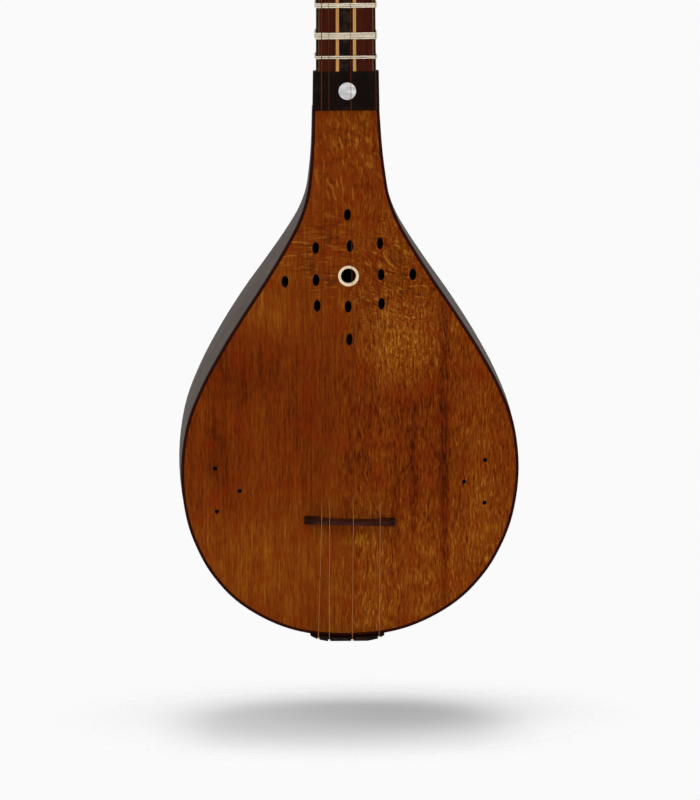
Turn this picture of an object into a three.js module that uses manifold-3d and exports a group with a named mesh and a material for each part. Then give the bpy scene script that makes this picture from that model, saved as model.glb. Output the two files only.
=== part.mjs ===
// A setar: a long-necked lute with a ribbed bowl, tied gut frets, a sliding bridge and four pegs.
// Millimetres. X runs to the viewer's right, Y from the soundboard into the bowl, Z up the neck.
// The origin is on the tailpiece's flat underside, in the plane of the soundboard's outer face.

import * as THREE from "three";
import { mergeVertices } from "three/addons/utils/BufferGeometryUtils.js";
import Module from "manifold-3d";

const wasm = await Module();
wasm.setup();

// Clearances and cutting
const fitGap = 0.3;
const cutOverrun = 3;
const weldDistance = 0.0005;

// Soundboard and bowl
const boardFoot = 1.9;
const boardLength = 249;
const boardWidth = 158;
const boardThickness = 3;
const boardDrift = 1.75;
const bindingWidth = 1.35;
const bowlDepth = 140;
const bowlCurvePower = 3.5;
const ribCount = 11;
const ribThickness = 2.6;

// Blocks inside the bowl
const neckBlockLength = 34;
const tailBlockHeight = 22;

// Sound holes
const ringBelowBoardTop = 78.3;
const ringAcross = 1;
const ringOuter = 9.8;
const ringInner = 7.1;
const ringProud = 0.3;
const holeWidth = 3.2;
const holeHeight = 5.7;
const holesClearOfEdge = 6.5;
const pinholeWidth = 2;

// Neck, fingerboard and head
const collarLength = 18.7;
const collarWidth = 30.7;
const neckWidthAtBody = 27.7;
const neckWidthAtNut = 24.6;
const neckDepthAtBody = 22.4;
const neckDepthAtNut = 17.6;
const neckCurvePower = 2.4;
const heelLength = 21;
const fingerboardRise = 1.6;
const centreStripWidth = 6.55;
const inlayLineWidth = 1.45;
const inlayDepth = 1.2;
const pearlWidth = 8;
const pearlDepth = 1.4;
const pearlAcross = 0.6;
const pearlBelowCollarTop = 9.4;
const headLength = 115;
const headWidth = 27;
const headDepth = 20;
const headChamfer = 2.5;

// Strings, bridge, nut and tailpiece
const scaleLength = 659;
const bridgeAcross = 1.2;
const bridgeLength = 42.4;
const bridgeRise = 8.2;
const bridgeFootThickness = 4;
const bridgeRidgeThickness = 1.6;
const bridgeSlantDegrees = 1.7;
const stringRiseAtBridge = 8;
const stringRiseAtNut = 3.2;
const stringSpreadAtTail = 28.5;
const stringSpreadAtBridge = 27.4;
const stringSpreadAtNut = 21;
const stringShiftAtBridge = 1.6;
const stringShiftAtTail = 0.6;
const plainGauge = 0.2;
const middleGauge = 0.24;
const bassGauge = 0.4;
const notchWidth = 1;
const notchRise = 0.6;
const nutThickness = 3;
const tailpieceWidth = 34.6;
const tailpieceFront = 2.9;
const tailpieceBack = 13;
const tailpieceCornerRise = 2.6;
const tailGrooveWidth = 1.1;
const tailGrooveEnd = 8;
const grooveSeat = 0.1;

// Frets
const gutWidth = 0.8;
const lastFretAboveCollar = 6.66;

// Pegs and the string wound on each
const firstPegAboveNut = 30;
const lastPegBelowHeadTop = 23;
const lowerFrontPegAcross = -3;
const upperFrontPegAcross = 4;
const pegRadius = 4.4;
const pegTipRadius = 3.7;
const pegReach = 14;
const pegTipReach = 4.5;
const pegTipRounding = 1;
const pegBeadRadius = 5.8;
const pegBeadLength = 3.4;
const pegWaistRadius = 3.6;
const pegWaistLength = 5;
const thumbWidth = 21;
const thumbLength = 24;
const thumbThickness = 8;
const sidePegDepth = 8.5;
const windingTurns = 3;
const windingPitch = 1;
const windingFromHead = 5;
const routeCornerRadius = 0.5;

// Facets
const bowlSteps = 24;
const outlineSteps = 34;
const ribFacets = 2;
const neckFacets = 8;
const holeFacets = 10;
const ringFacets = 24;
const pegFacets = 16;
const stringSides = 6;
const windingSteps = 14;
const heelSteps = 5;
const halvings = 40;
const tailCrowdingPower = 1.15;
const firstAlongShare = 0.035;
const probeShare = 0.004;

// Height up the board, half width and bowl depth, from the tail to the collar.
const bowlStationShares = [
  [0, 0, 0],
  [0.016, 0.357, 0.38],
  [0.062, 0.634, 0.66],
  [0.107, 0.779, 0.8],
  [0.153, 0.875, 0.88],
  [0.222, 0.962, 0.95],
  [0.313, 1, 0.99],
  [0.404, 0.968, 1],
  [0.472, 0.888, 0.99],
  [0.541, 0.773, 0.96],
  [0.609, 0.641, 0.89],
  [0.678, 0.4985, 0.74],
  [0.746, 0.368, 0.56],
  [0.792, 0.2925, 0.44],
  [0.8375, 0.2444, 0.34],
  [0.883, 0.223, 0.27],
  [0.929, 0.209, 0.225],
  [1, 0.198, 0.2],
];

// Centres of the oval holes from the ring's centre, across and up, in hole pitches.
const ovalHoleShares = [
  [-0.03, 1.95],
  [-1.03, 0.9],
  [0.05, 0.95],
  [0.99, 1.03],
  [-2, -0.17],
  [-1.02, -0.13],
  [1.03, 0.03],
  [2.03, 0.03],
  [-0.99, -0.95],
  [-0.01, -0.98],
  [1.04, -0.9],
  [0.03, -2.03],
];

// Centres of the pinholes, across in half board widths and up in board lengths.
const pinholeShares = [
  [-0.78, 0.321],
  [-0.635, 0.278],
  [-0.77, 0.239],
  [0.82, 0.333],
  [0.695, 0.292],
  [0.815, 0.252],
];

// The bridge seen along the strings: across in half lengths, up in rises, from its left foot round.
const bridgeOutlineShares = [
  [-1, 0],
  [-1, 0.28],
  [-0.94, 0.4],
  [-0.76, 0.93],
  [-0.72, 1],
];
const bridgeArchShares = [
  [0.7, 0],
  [0.62, 0.22],
  [0.3, 0.36],
  [-0.3, 0.36],
  [-0.62, 0.22],
  [-0.7, 0],
];

// The tailpiece's underside from its middle to its right corner: across in half widths, up in corner rises.
const tailpieceUndersideShares = [
  [0, 0],
  [0.55, 0],
  [0.82, 0.37],
  [1, 1],
];

// Each fret's pitch above the open string in cents, and how many turns of gut it has.
const frets = [
  [90, 3],
  [135, 3],
  [204, 4],
  [294, 3],
  [340, 3],
  [408, 4],
  [498, 4],
  [565, 3],
  [620, 3],
  [702, 4],
  [792, 3],
  [840, 3],
  [906, 4],
  [996, 4],
  [1040, 3],
  [1110, 3],
  [1200, 4],
  [1290, 3],
  [1335, 3],
  [1404, 4],
  [1494, 3],
  [1540, 3],
  [1608, 4],
  [1719, 3],
  [1824, 4],
  [1902, 2],
];
const octaveCentCount = 1200;

// The strings from left to right, their places as shares of the half spread, and their pegs, with each
// peg's place as a share of the way from the lowest peg to the highest.
const strings = [
  {
    name: "bass",
    gauge: bassGauge,
    spreadShare: -1,
    tailShare: -1,
    pegSide: "left",
    pegShare: 0,
    pegAcross: 0,
    thumbTurn: 1.1,
    colour: 0xb08a4a,
  },
  {
    name: "drone",
    gauge: plainGauge,
    spreadShare: -0.73,
    tailShare: -0.64,
    pegSide: "left",
    pegShare: 0.6774,
    pegAcross: 0,
    thumbTurn: 0.35,
    colour: 0xc9c9c4,
  },
  {
    name: "middle",
    gauge: middleGauge,
    spreadShare: 0.08,
    tailShare: 0.12,
    pegSide: "front",
    pegShare: 0.3226,
    pegAcross: lowerFrontPegAcross,
    thumbTurn: -0.5,
    colour: 0xc7a45c,
  },
  {
    name: "treble",
    gauge: plainGauge,
    spreadShare: 1,
    tailShare: 1,
    pegSide: "front",
    pegShare: 1,
    pegAcross: upperFrontPegAcross,
    thumbTurn: 0.9,
    colour: 0xc9c9c4,
  },
];

// Places that follow from the sizes above
const boardTop = boardFoot + boardLength;
const halfBoard = boardWidth / 2;
const ringHeight = boardTop - ringBelowBoardTop;
const collarTop = boardTop + collarLength;
const heelTop = boardTop + fitGap + heelLength;
const lastFretCents = frets[frets.length - 1][0];
const bridgeHeight = collarTop + lastFretAboveCollar - soundingLength(lastFretCents);
const nutHeight = bridgeHeight + scaleLength;
const headFoot = nutHeight + nutThickness;
const headTop = nutHeight + headLength;
const thickestString = Math.max(...strings.map((string) => string.gauge));

const finish = {
  soundboard: { color: 0x8a4a17, roughness: 0.35, metalness: 0 },
  bowl: { color: 0x3b2e27, roughness: 0.3, metalness: 0 },
  ebony: { color: 0x17110f, roughness: 0.4, metalness: 0 },
  neck: { color: 0x2b1913, roughness: 0.4, metalness: 0 },
  fingerboard: { color: 0x3a120a, roughness: 0.45, metalness: 0 },
  pale: { color: 0xc99a4e, roughness: 0.5, metalness: 0 },
  bone: { color: 0xe6d3a8, roughness: 0.4, metalness: 0 },
  pearl: { color: 0xdfe3ea, roughness: 0.2, metalness: 0 },
  gut: { color: 0xe3d9c4, roughness: 0.55, metalness: 0 },
  inner: { color: 0xa9793f, roughness: 0.8, metalness: 0 },
};

const setar = new THREE.Group();

// The length of string left to sound at a pitch above the open string.
function soundingLength(cents) {
  return scaleLength * 2 ** (-cents / octaveCentCount);
}

// Welds a geometry's vertices and turns its faces outwards.
function sealed(geometry) {
  const bare = geometry.clone();
  bare.deleteAttribute("normal");
  bare.deleteAttribute("uv");
  const welded = mergeVertices(bare, weldDistance);
  const at = welded.attributes.position;
  const corners = [0, 1, 2].map(() => new THREE.Vector3());
  const kept = [];
  let volume = 0;
  for (let i = 0; i < welded.index.count; i += 3) {
    const triangle = [0, 1, 2].map((k) => welded.index.getX(i + k));
    if (new Set(triangle).size < 3) {
      continue;
    }
    triangle.forEach((vertex, k) => corners[k].fromBufferAttribute(at, vertex));
    volume += corners[0].dot(corners[1].clone().cross(corners[2]));
    kept.push(triangle);
  }
  const outward = volume < 0 ? kept.map(([a, b, c]) => [a, c, b]) : kept;
  welded.setIndex(outward.flat());
  welded.computeVertexNormals();
  return welded;
}

function toSolid(geometry) {
  const closed = sealed(geometry);
  return new wasm.Manifold(
    new wasm.Mesh({
      numProp: 3,
      vertProperties: new Float32Array(closed.attributes.position.array),
      triVerts: new Uint32Array(closed.index.array),
    }),
  );
}

function toGeometry(solid) {
  const mesh = solid.getMesh();
  const geometry = new THREE.BufferGeometry();
  geometry.setAttribute("position", new THREE.BufferAttribute(mesh.vertProperties, 3));
  geometry.setIndex(new THREE.BufferAttribute(mesh.triVerts, 1));
  return geometry;
}

function addPiece(name, geometry, look) {
  const piece = new THREE.Mesh(sealed(geometry), new THREE.MeshStandardMaterial(look));
  piece.name = name;
  setar.add(piece);
  return piece;
}

function mix(from, to, share) {
  return from + (to - from) * share;
}

// Joins rings of equally many points. Open skins get a cap on each end, closed ones join up.
function skin(rings, closed = false) {
  const size = rings[0].length;
  const positions = rings.flat().flatMap((point) => point.toArray());
  const index = [];
  const spans = closed ? rings.length : rings.length - 1;
  for (let i = 0; i < spans; i += 1) {
    const here = i * size;
    const next = ((i + 1) % rings.length) * size;
    for (let j = 0; j < size; j += 1) {
      const k = (j + 1) % size;
      index.push(here + j, next + j, next + k, here + j, next + k, here + k);
    }
  }
  if (!closed) {
    const last = (rings.length - 1) * size;
    capTriangles(rings[0]).forEach(([a, b, c]) => index.push(a, b, c));
    capTriangles(rings[rings.length - 1]).forEach(([a, b, c]) => {
      index.push(last + a, last + c, last + b);
    });
  }
  const geometry = new THREE.BufferGeometry();
  geometry.setAttribute("position", new THREE.Float32BufferAttribute(positions, 3));
  geometry.setIndex(index);
  return geometry;
}

// Triangles over one ring, wound so that they close a skin's first end.
function capTriangles(ring) {
  const normal = new THREE.Vector3();
  ring.forEach((point, i) => {
    normal.add(point.clone().cross(ring[(i + 1) % ring.length]));
  });
  const turn = new THREE.Quaternion();
  turn.setFromUnitVectors(normal.normalize(), new THREE.Vector3(0, 0, 1));
  const flat = ring.map((point) => {
    const turned = point.clone().applyQuaternion(turn);
    return new THREE.Vector2(turned.x, turned.y);
  });
  return THREE.ShapeUtils.triangulateShape(flat, []);
}

// Bowl
const stationPoints = bowlStationShares.map(
  ([up, half, depth]) => new THREE.Vector3(half * halfBoard, depth * bowlDepth, up * boardLength),
);
const mirroredPoints = stationPoints
  .slice(1)
  .reverse()
  .map((point) => new THREE.Vector3(-point.x, -point.y, point.z));
const stationCurve = new THREE.CatmullRomCurve3(
  [...mirroredPoints, ...stationPoints],
  false,
  "centripetal",
);

// Half width, depth and height of the bowl, with along running from 0 at the tail to 1 at the neck.
function bowlStation(along) {
  return stationCurve.getPoint((1 + along) / 2);
}

// Half the board's width at a height, found by halving the stretch of outline that reaches it.
function halfWidthAt(height) {
  let below = 0;
  let above = 1;
  for (let i = 0; i < halvings; i += 1) {
    const middle = (below + above) / 2;
    if (boardFoot + bowlStation(middle).z < height) {
      below = middle;
    } else {
      above = middle;
    }
  }
  return bowlStation(below).x;
}

function drift(height) {
  return boardDrift * Math.sin((Math.PI * (height - boardFoot)) / boardLength);
}

// A point of the bowl's outer face. The angle runs from 0 at the right rim to half a turn at the left.
function bowlPoint(along, angle) {
  const station = bowlStation(along);
  const height = boardFoot + station.z;
  const cosine = Math.cos(angle);
  const across = Math.sign(cosine) * Math.abs(cosine) ** (2 / bowlCurvePower);
  const inwards = Math.max(0, Math.sin(angle)) ** (2 / bowlCurvePower);
  return new THREE.Vector3(
    drift(height) + station.x * across,
    boardThickness + station.y * inwards,
    height,
  );
}

function bowlNormal(along, angle) {
  const a = bowlPoint(Math.max(0, along - probeShare), angle);
  const b = bowlPoint(Math.min(1, along + probeShare), angle);
  const c = bowlPoint(along, Math.max(0, angle - probeShare));
  const d = bowlPoint(along, Math.min(Math.PI, angle + probeShare));
  return b.sub(a).cross(d.sub(c)).multiplyScalar(-1).normalize();
}

// A point set in from the bowl's outer face, kept in the rim's plane at the rim.
function bowlInset(along, angle, inset) {
  const point = bowlPoint(along, angle);
  const onRim = angle === 0 || angle === Math.PI;
  const inner = point.clone().addScaledVector(bowlNormal(along, angle), -inset);
  inner.y = onRim ? boardThickness : Math.max(inner.y, boardThickness);
  return inner;
}

function bowlSteppedAlongs() {
  return Array.from({ length: bowlSteps + 1 }, (_, i) => mix(firstAlongShare, 1, i / bowlSteps));
}

// The angle where one rib meets the next, moved aside by half the glue gap.
function ribEdge(index, along, side) {
  const angle = (Math.PI * index) / ribCount;
  if (index === 0 || index === ribCount) {
    return angle;
  }
  const beside = bowlPoint(along, angle + probeShare);
  const stretch = beside.distanceTo(bowlPoint(along, angle)) / probeShare;
  return angle + (side * fitGap) / 2 / stretch;
}

function ribGeometry(index) {
  const rings = bowlSteppedAlongs().map((along) => {
    const from = ribEdge(index, along, 1);
    const to = ribEdge(index + 1, along, -1);
    const outer = [];
    const inner = [];
    for (let k = 0; k <= ribFacets; k += 1) {
      const angle = k === ribFacets ? to : mix(from, to, k / ribFacets);
      outer.push(bowlInset(along, angle, 0));
      inner.unshift(bowlInset(along, angle, ribThickness));
    }
    return [...outer, ...inner];
  });
  return skin(rings);
}

function addBowl() {
  for (let i = 0; i < ribCount; i += 1) {
    const number = String(i + 1).padStart(2, "0");
    addPiece(`rib_${number}`, ribGeometry(i), finish.bowl);
  }
}

// The room inside the ribs, or with a negative inset a skin round their outside.
function bowlCore(inset) {
  const steps = ribCount * ribFacets;
  const rings = bowlSteppedAlongs().map((along) =>
    Array.from({ length: steps + 1 }, (_, k) => bowlInset(along, (Math.PI * k) / steps, inset)),
  );
  return toSolid(skin(rings));
}

function slab(from, to) {
  const geometry = new THREE.BoxGeometry(boardWidth * 2, bowlDepth * 3, to - from);
  geometry.translate(0, 0, (from + to) / 2);
  return toSolid(geometry);
}

function addBlocks() {
  const room = bowlCore(ribThickness + fitGap);
  const upper = room.intersect(slab(boardTop - neckBlockLength, boardTop - fitGap));
  const lower = room.intersect(slab(boardFoot, boardFoot + tailBlockHeight));
  addPiece("neck_block", toGeometry(upper), finish.inner);
  addPiece("tail_block", toGeometry(lower), finish.inner);
}

// Soundboard
// The board's outline set in by a distance, from its right top corner round the tail to its left one.
function boardOutline(inset) {
  const side = (sign) =>
    Array.from({ length: outlineSteps + 1 }, (_, i) => {
      const along = (i / outlineSteps) ** tailCrowdingPower;
      const angle = sign > 0 ? 0 : Math.PI;
      const point = bowlPoint(along, angle);
      const outward = i === 0 ? new THREE.Vector3(0, 0, -1) : bowlNormal(along, angle);
      return new THREE.Vector2(point.x - outward.x * inset, point.z - outward.z * inset);
    });
  const right = side(1);
  const left = side(-1);
  right[outlineSteps].y = boardTop;
  left[outlineSteps].y = boardTop;
  return [...right.reverse(), ...left.slice(1)];
}

// Extrudes a shape drawn across and up, from one depth to another.
function plate(shape, from, to) {
  const geometry = new THREE.ExtrudeGeometry(shape, {
    depth: to - from,
    bevelEnabled: false,
    curveSegments: holeFacets,
  });
  geometry.rotateX(Math.PI / 2);
  geometry.translate(0, to, 0);
  return geometry;
}

function ovalPath(x, z, width, height, facets) {
  const points = Array.from({ length: facets }, (_, i) => {
    const angle = (2 * Math.PI * i) / facets;
    return new THREE.Vector2(x + (width / 2) * Math.cos(angle), z + (height / 2) * Math.sin(angle));
  });
  return new THREE.Path(points);
}

function addSoundboard() {
  const board = new THREE.Shape(boardOutline(bindingWidth + fitGap));
  const ringSeat = ringOuter + 2 * fitGap;
  const holeRoom = halfWidthAt(ringHeight) - holesClearOfEdge - holeWidth / 2;
  const holePitch = holeRoom / Math.max(...ovalHoleShares.map(([across]) => across));
  board.holes.push(ovalPath(ringAcross, ringHeight, ringSeat, ringSeat, ringFacets));
  ovalHoleShares.forEach(([across, up]) => {
    const x = ringAcross + across * holePitch;
    const z = ringHeight + up * holePitch;
    board.holes.push(ovalPath(x, z, holeWidth, holeHeight, holeFacets));
  });
  pinholeShares.forEach(([across, up]) => {
    const x = across * halfBoard;
    const z = boardFoot + up * boardLength;
    board.holes.push(ovalPath(x, z, pinholeWidth, pinholeWidth, holeFacets));
  });
  addPiece("soundboard", plate(board, 0, boardThickness), finish.soundboard);

  const outer = boardOutline(0);
  const inner = boardOutline(bindingWidth);
  const strip = new THREE.Shape([...outer, ...inner.reverse()]);
  addPiece("edge_binding", plate(strip, 0, boardThickness), finish.ebony);

  const ring = new THREE.Shape(
    ovalPath(ringAcross, ringHeight, ringOuter, ringOuter, ringFacets).getPoints(),
  );
  ring.holes.push(ovalPath(ringAcross, ringHeight, ringInner, ringInner, ringFacets));
  addPiece("sound_hole_ring", plate(ring, -ringProud, boardThickness), finish.bone);
}

// Neck
// Half width and depth of the neck or head behind the fingerboard's seat at a height.
function neckSection(height) {
  const onNeck = THREE.MathUtils.clamp((height - heelTop) / (nutHeight - heelTop), 0, 1);
  const onHead = THREE.MathUtils.clamp((height - headFoot) / (headTop - headFoot), 0, 1);
  const half = mix(neckWidthAtBody, neckWidthAtNut, onNeck) / 2;
  const depth = mix(neckDepthAtBody, neckDepthAtNut, onNeck);
  const flare = THREE.MathUtils.clamp((heelTop - height) / heelLength, 0, 1) ** 2;
  const heel = bowlStation(1);
  return {
    half: half + (heel.x - half) * flare + (headWidth / 2 - half) * onHead,
    depth: depth + (heel.y - depth) * flare + (headDepth - depth) * onHead,
  };
}

// The rounded back of a neck section, from its right front corner to its left one.
function neckBack(half, depth) {
  return Array.from({ length: neckFacets + 1 }, (_, i) => {
    const angle = (Math.PI * i) / neckFacets;
    const cosine = Math.cos(angle);
    const across = Math.sign(cosine) * Math.abs(cosine) ** (2 / neckCurvePower);
    const inwards = i % neckFacets === 0 ? 0 : Math.sin(angle) ** (2 / neckCurvePower);
    return new THREE.Vector2(half * across, boardThickness + depth * inwards);
  });
}

function neckRing(height, inset = 0) {
  const { half, depth } = neckSection(height);
  return neckBack(half - inset, depth - inset).map(
    (point) => new THREE.Vector3(point.x, point.y, height),
  );
}

function addNeck() {
  const foot = boardTop + fitGap;
  const heel = Array.from({ length: heelSteps + 1 }, (_, i) => mix(foot, heelTop, i / heelSteps));
  const rings = [...heel, nutHeight, headFoot, headTop - headChamfer].map((height) =>
    neckRing(height),
  );
  rings.push(neckRing(headTop, headChamfer / 2));
  const bored = strings.reduce(
    (solid, string) => solid.subtract(toSolid(pegHole(string))),
    toSolid(skin(rings)),
  );
  addPiece("neck", toGeometry(bored), finish.neck);
}

function addFingerboard() {
  const foot = collarTop + fitGap;
  const top = -fingerboardRise;
  const floor = top + inlayDepth;
  const trough = centreStripWidth / 2 + inlayLineWidth;
  const ring = (height) => {
    const { half } = neckSection(height);
    return [
      [-half, boardThickness],
      [-half, top],
      [-trough, top],
      [-trough, floor],
      [trough, floor],
      [trough, top],
      [half, top],
      [half, boardThickness],
    ].map(([x, y]) => new THREE.Vector3(x, y, height));
  };
  addPiece("fingerboard", skin([ring(foot), ring(heelTop), ring(nutHeight)]), finish.fingerboard);
  const strip = (name, from, to, look) => {
    const shape = new THREE.Shape([
      new THREE.Vector2(from, foot),
      new THREE.Vector2(to, foot),
      new THREE.Vector2(to, nutHeight),
      new THREE.Vector2(from, nutHeight),
    ]);
    addPiece(name, plate(shape, top, floor), look);
  };
  strip("centre_strip", -centreStripWidth / 2, centreStripWidth / 2, finish.ebony);
  strip("inlay_line_left", -trough, -centreStripWidth / 2, finish.pale);
  strip("inlay_line_right", centreStripWidth / 2, trough, finish.pale);
}

function addCollar() {
  const foot = boardTop + fitGap;
  const footHalf = bowlStation(1).x;
  const topHalf = collarWidth / 2;
  const outline = new THREE.Shape([
    new THREE.Vector2(-footHalf, foot),
    new THREE.Vector2(footHalf, foot),
    new THREE.Vector2(topHalf, collarTop),
    new THREE.Vector2(-topHalf, collarTop),
  ]);
  const pearlHeight = collarTop - pearlBelowCollarTop;
  const disc = (width, from, to) => {
    const points = ovalPath(pearlAcross, pearlHeight, width, width, ringFacets).getPoints();
    return plate(new THREE.Shape(points), from, to);
  };
  const seat = disc(
    pearlWidth + 2 * fitGap,
    -fingerboardRise - cutOverrun,
    pearlDepth - fingerboardRise,
  );
  const collar = toSolid(plate(outline, -fingerboardRise, boardThickness)).subtract(toSolid(seat));
  addPiece("collar", toGeometry(collar), finish.ebony);
  const dot = disc(pearlWidth, -fingerboardRise, pearlDepth - fingerboardRise);
  addPiece("pearl_dot", dot, finish.pearl);
}

// Where the strings lie
function stringAcross(string, place) {
  if (place === "tail") {
    return stringShiftAtTail + (string.tailShare * stringSpreadAtTail) / 2;
  }
  if (place === "bridge") {
    return stringShiftAtBridge + (string.spreadShare * stringSpreadAtBridge) / 2;
  }
  return (string.spreadShare * stringSpreadAtNut) / 2;
}

// A row of deck points from left to right with a notch under each string, heights measured up from 0.
function notchedDeck(place, from, to, deck, floor) {
  const points = [[from, deck]];
  strings.forEach((string) => {
    const x = stringAcross(string, place);
    points.push([x - notchWidth / 2, deck], [x - notchWidth / 2, floor]);
    points.push([x + notchWidth / 2, floor], [x + notchWidth / 2, deck]);
  });
  points.push([to, deck]);
  return points;
}

function addNut() {
  const half = neckSection(nutHeight).half;
  const floor = stringRiseAtNut - thickestString / 2 - fitGap;
  const deck = notchedDeck("nut", -half, half, floor + notchRise, floor);
  const outline = [[-half, -boardThickness], ...deck, [half, -boardThickness]];
  const rings = [nutHeight, headFoot].map((height) =>
    outline.map(([x, rise]) => new THREE.Vector3(x, -rise, height)),
  );
  addPiece("nut", skin(rings), finish.bone);
}

function bridgePoint(x, rise, side) {
  const thickness = mix(bridgeFootThickness, bridgeRidgeThickness, rise / bridgeRise);
  return new THREE.Vector3(x, -rise, (side * thickness) / 2);
}

function addBridge() {
  const half = bridgeLength / 2;
  const shoulder = bridgeOutlineShares.map(([x, rise]) => [x * half, rise * bridgeRise]);
  const floor = stringRiseAtBridge - thickestString / 2 - fitGap;
  const deckHalf = -shoulder[shoulder.length - 1][0];
  const notches = notchedDeck("bridge", -deckHalf, deckHalf, bridgeRise, floor);
  const deck = notches.slice(1, -1).map(([x, rise]) => [x - bridgeAcross, rise]);
  const farShoulder = [...shoulder].reverse().map(([x, rise]) => [-x, rise]);
  const arch = bridgeArchShares.map(([x, rise]) => [x * half, rise * bridgeRise]);
  const outline = [...shoulder, ...deck, ...farShoulder, ...arch];
  const rings = [-1, 1].map((side) => outline.map(([x, rise]) => bridgePoint(x, rise, side)));
  const bridge = addPiece("bridge", skin(rings), finish.ebony);
  bridge.position.set(bridgeAcross, 0, bridgeHeight);
  bridge.rotation.y = THREE.MathUtils.degToRad(bridgeSlantDegrees);
}

function underside(x) {
  const share = Math.abs(x) / (tailpieceWidth / 2);
  const next = tailpieceUndersideShares.findIndex(([across]) => across >= share);
  if (next <= 0) {
    return next < 0 ? tailpieceCornerRise : 0;
  }
  const [fromX, fromRise] = tailpieceUndersideShares[next - 1];
  const [toX, toRise] = tailpieceUndersideShares[next];
  return tailpieceCornerRise * mix(fromRise, toRise, (share - fromX) / (toX - fromX));
}

function addTailpiece() {
  const half = tailpieceWidth / 2;
  const right = tailpieceUndersideShares
    .slice(1)
    .map(([x, rise]) => new THREE.Vector2(x * half, rise * tailpieceCornerRise));
  const left = right.map((point) => new THREE.Vector2(-point.x, point.y)).reverse();
  const top = boardFoot + tailpieceCornerRise + cutOverrun;
  const block = new THREE.Shape([
    ...left,
    ...right,
    new THREE.Vector2(half, top),
    new THREE.Vector2(-half, top),
  ]);
  const boardRoom = new THREE.Shape(boardOutline(-fitGap));
  const whole = toSolid(plate(block, -tailpieceFront, tailpieceBack))
    .subtract(toSolid(plate(boardRoom, -tailpieceFront - cutOverrun, boardThickness + fitGap)))
    .subtract(bowlCore(-fitGap));
  const grooved = strings.reduce((solid, string) => {
    const x = stringAcross(string, "tail");
    const floor = underside(x);
    const depth = thickestString + grooveSeat + fitGap;
    const groove = new THREE.BoxGeometry(
      tailGrooveWidth,
      tailpieceFront + tailGrooveEnd + cutOverrun,
      depth + cutOverrun,
    );
    groove.translate(
      x,
      (tailGrooveEnd - tailpieceFront - cutOverrun) / 2,
      floor + (depth - cutOverrun) / 2,
    );
    return solid.subtract(toSolid(groove));
  }, whole);
  addPiece("tailpiece", toGeometry(grooved), finish.ebony);
}

// Frets
// The gut's path round the neck and fingerboard, held off them by a gap.
function fretContour(height, off) {
  const { half, depth } = neckSection(height);
  const back = neckBack(half + off, depth + off);
  const front = -fingerboardRise - off;
  const corner = Math.max(off - fitGap, 0);
  return [
    ...back,
    new THREE.Vector2(-half - off, front + corner),
    new THREE.Vector2(-half - off + corner, front),
    new THREE.Vector2(half + off - corner, front),
    new THREE.Vector2(half + off, front + corner),
  ];
}

// The band's outline along the neck: inner edge, then a valley beside each turn's crown.
function fretProfile(turns) {
  const half = (turns * gutWidth) / 2;
  const points = [[-half + gutWidth / 4, 0]];
  for (let k = 0; k < turns; k += 1) {
    points.push([-half + k * gutWidth, gutWidth / 2]);
    points.push([-half + (k + 0.5) * gutWidth, gutWidth]);
  }
  points.push([half, gutWidth / 2], [half - gutWidth / 4, 0]);
  return points;
}

function fretHeight(cents) {
  return bridgeHeight + soundingLength(cents);
}

function addFrets() {
  frets.forEach(([cents, turns], i) => {
    const height = fretHeight(cents);
    const contours = fretProfile(turns).map(([up, rise]) =>
      fretContour(height, fitGap + rise).map((point) => {
        return new THREE.Vector3(point.x, point.y, height + up);
      }),
    );
    const rings = contours[0].map((_, place) => contours.map((contour) => contour[place]));
    addPiece(`fret_${String(i + 1).padStart(2, "0")}`, skin(rings, true), finish.gut);
  });
}

// Pegs
// A peg's place: where its axis crosses the middle of the head, and how deep the head is along it.
function pegPlace(string) {
  const height = mix(nutHeight + firstPegAboveNut, headTop - lastPegBelowHeadTop, string.pegShare);
  const { half, depth } = neckSection(height);
  const fromSide = string.pegSide === "left";
  return {
    height,
    across: fromSide ? -half : string.pegAcross,
    inwards: fromSide ? boardThickness + sidePegDepth : boardThickness,
    passage: fromSide ? 2 * half : depth,
  };
}

// Stands something made along +Y, with the head's near face at 0, on a peg's axis.
function setOnPegAxis(object, string) {
  const place = pegPlace(string);
  object.position.set(place.across, place.inwards, place.height);
  if (string.pegSide === "left") {
    object.rotation.set(0, 0, Math.PI / 2);
  } else {
    object.rotation.set(Math.PI, 0, 0);
  }
  object.rotateY(string.thumbTurn);
  object.updateMatrix();
}

function shankRadiusAt(out, passage) {
  const tip = -passage - pegTipReach;
  return mix(pegTipRadius, pegRadius, (out - tip) / (pegReach - tip));
}

function pegHole(string) {
  const { passage } = pegPlace(string);
  const from = -passage - cutOverrun;
  const to = cutOverrun;
  const bore = new THREE.CylinderGeometry(
    shankRadiusAt(to, passage) + fitGap,
    shankRadiusAt(from, passage) + fitGap,
    to - from,
    ringFacets,
  );
  bore.translate(0, (from + to) / 2, 0);
  const holder = new THREE.Object3D();
  setOnPegAxis(holder, string);
  return bore.applyMatrix4(holder.matrix);
}

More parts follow.
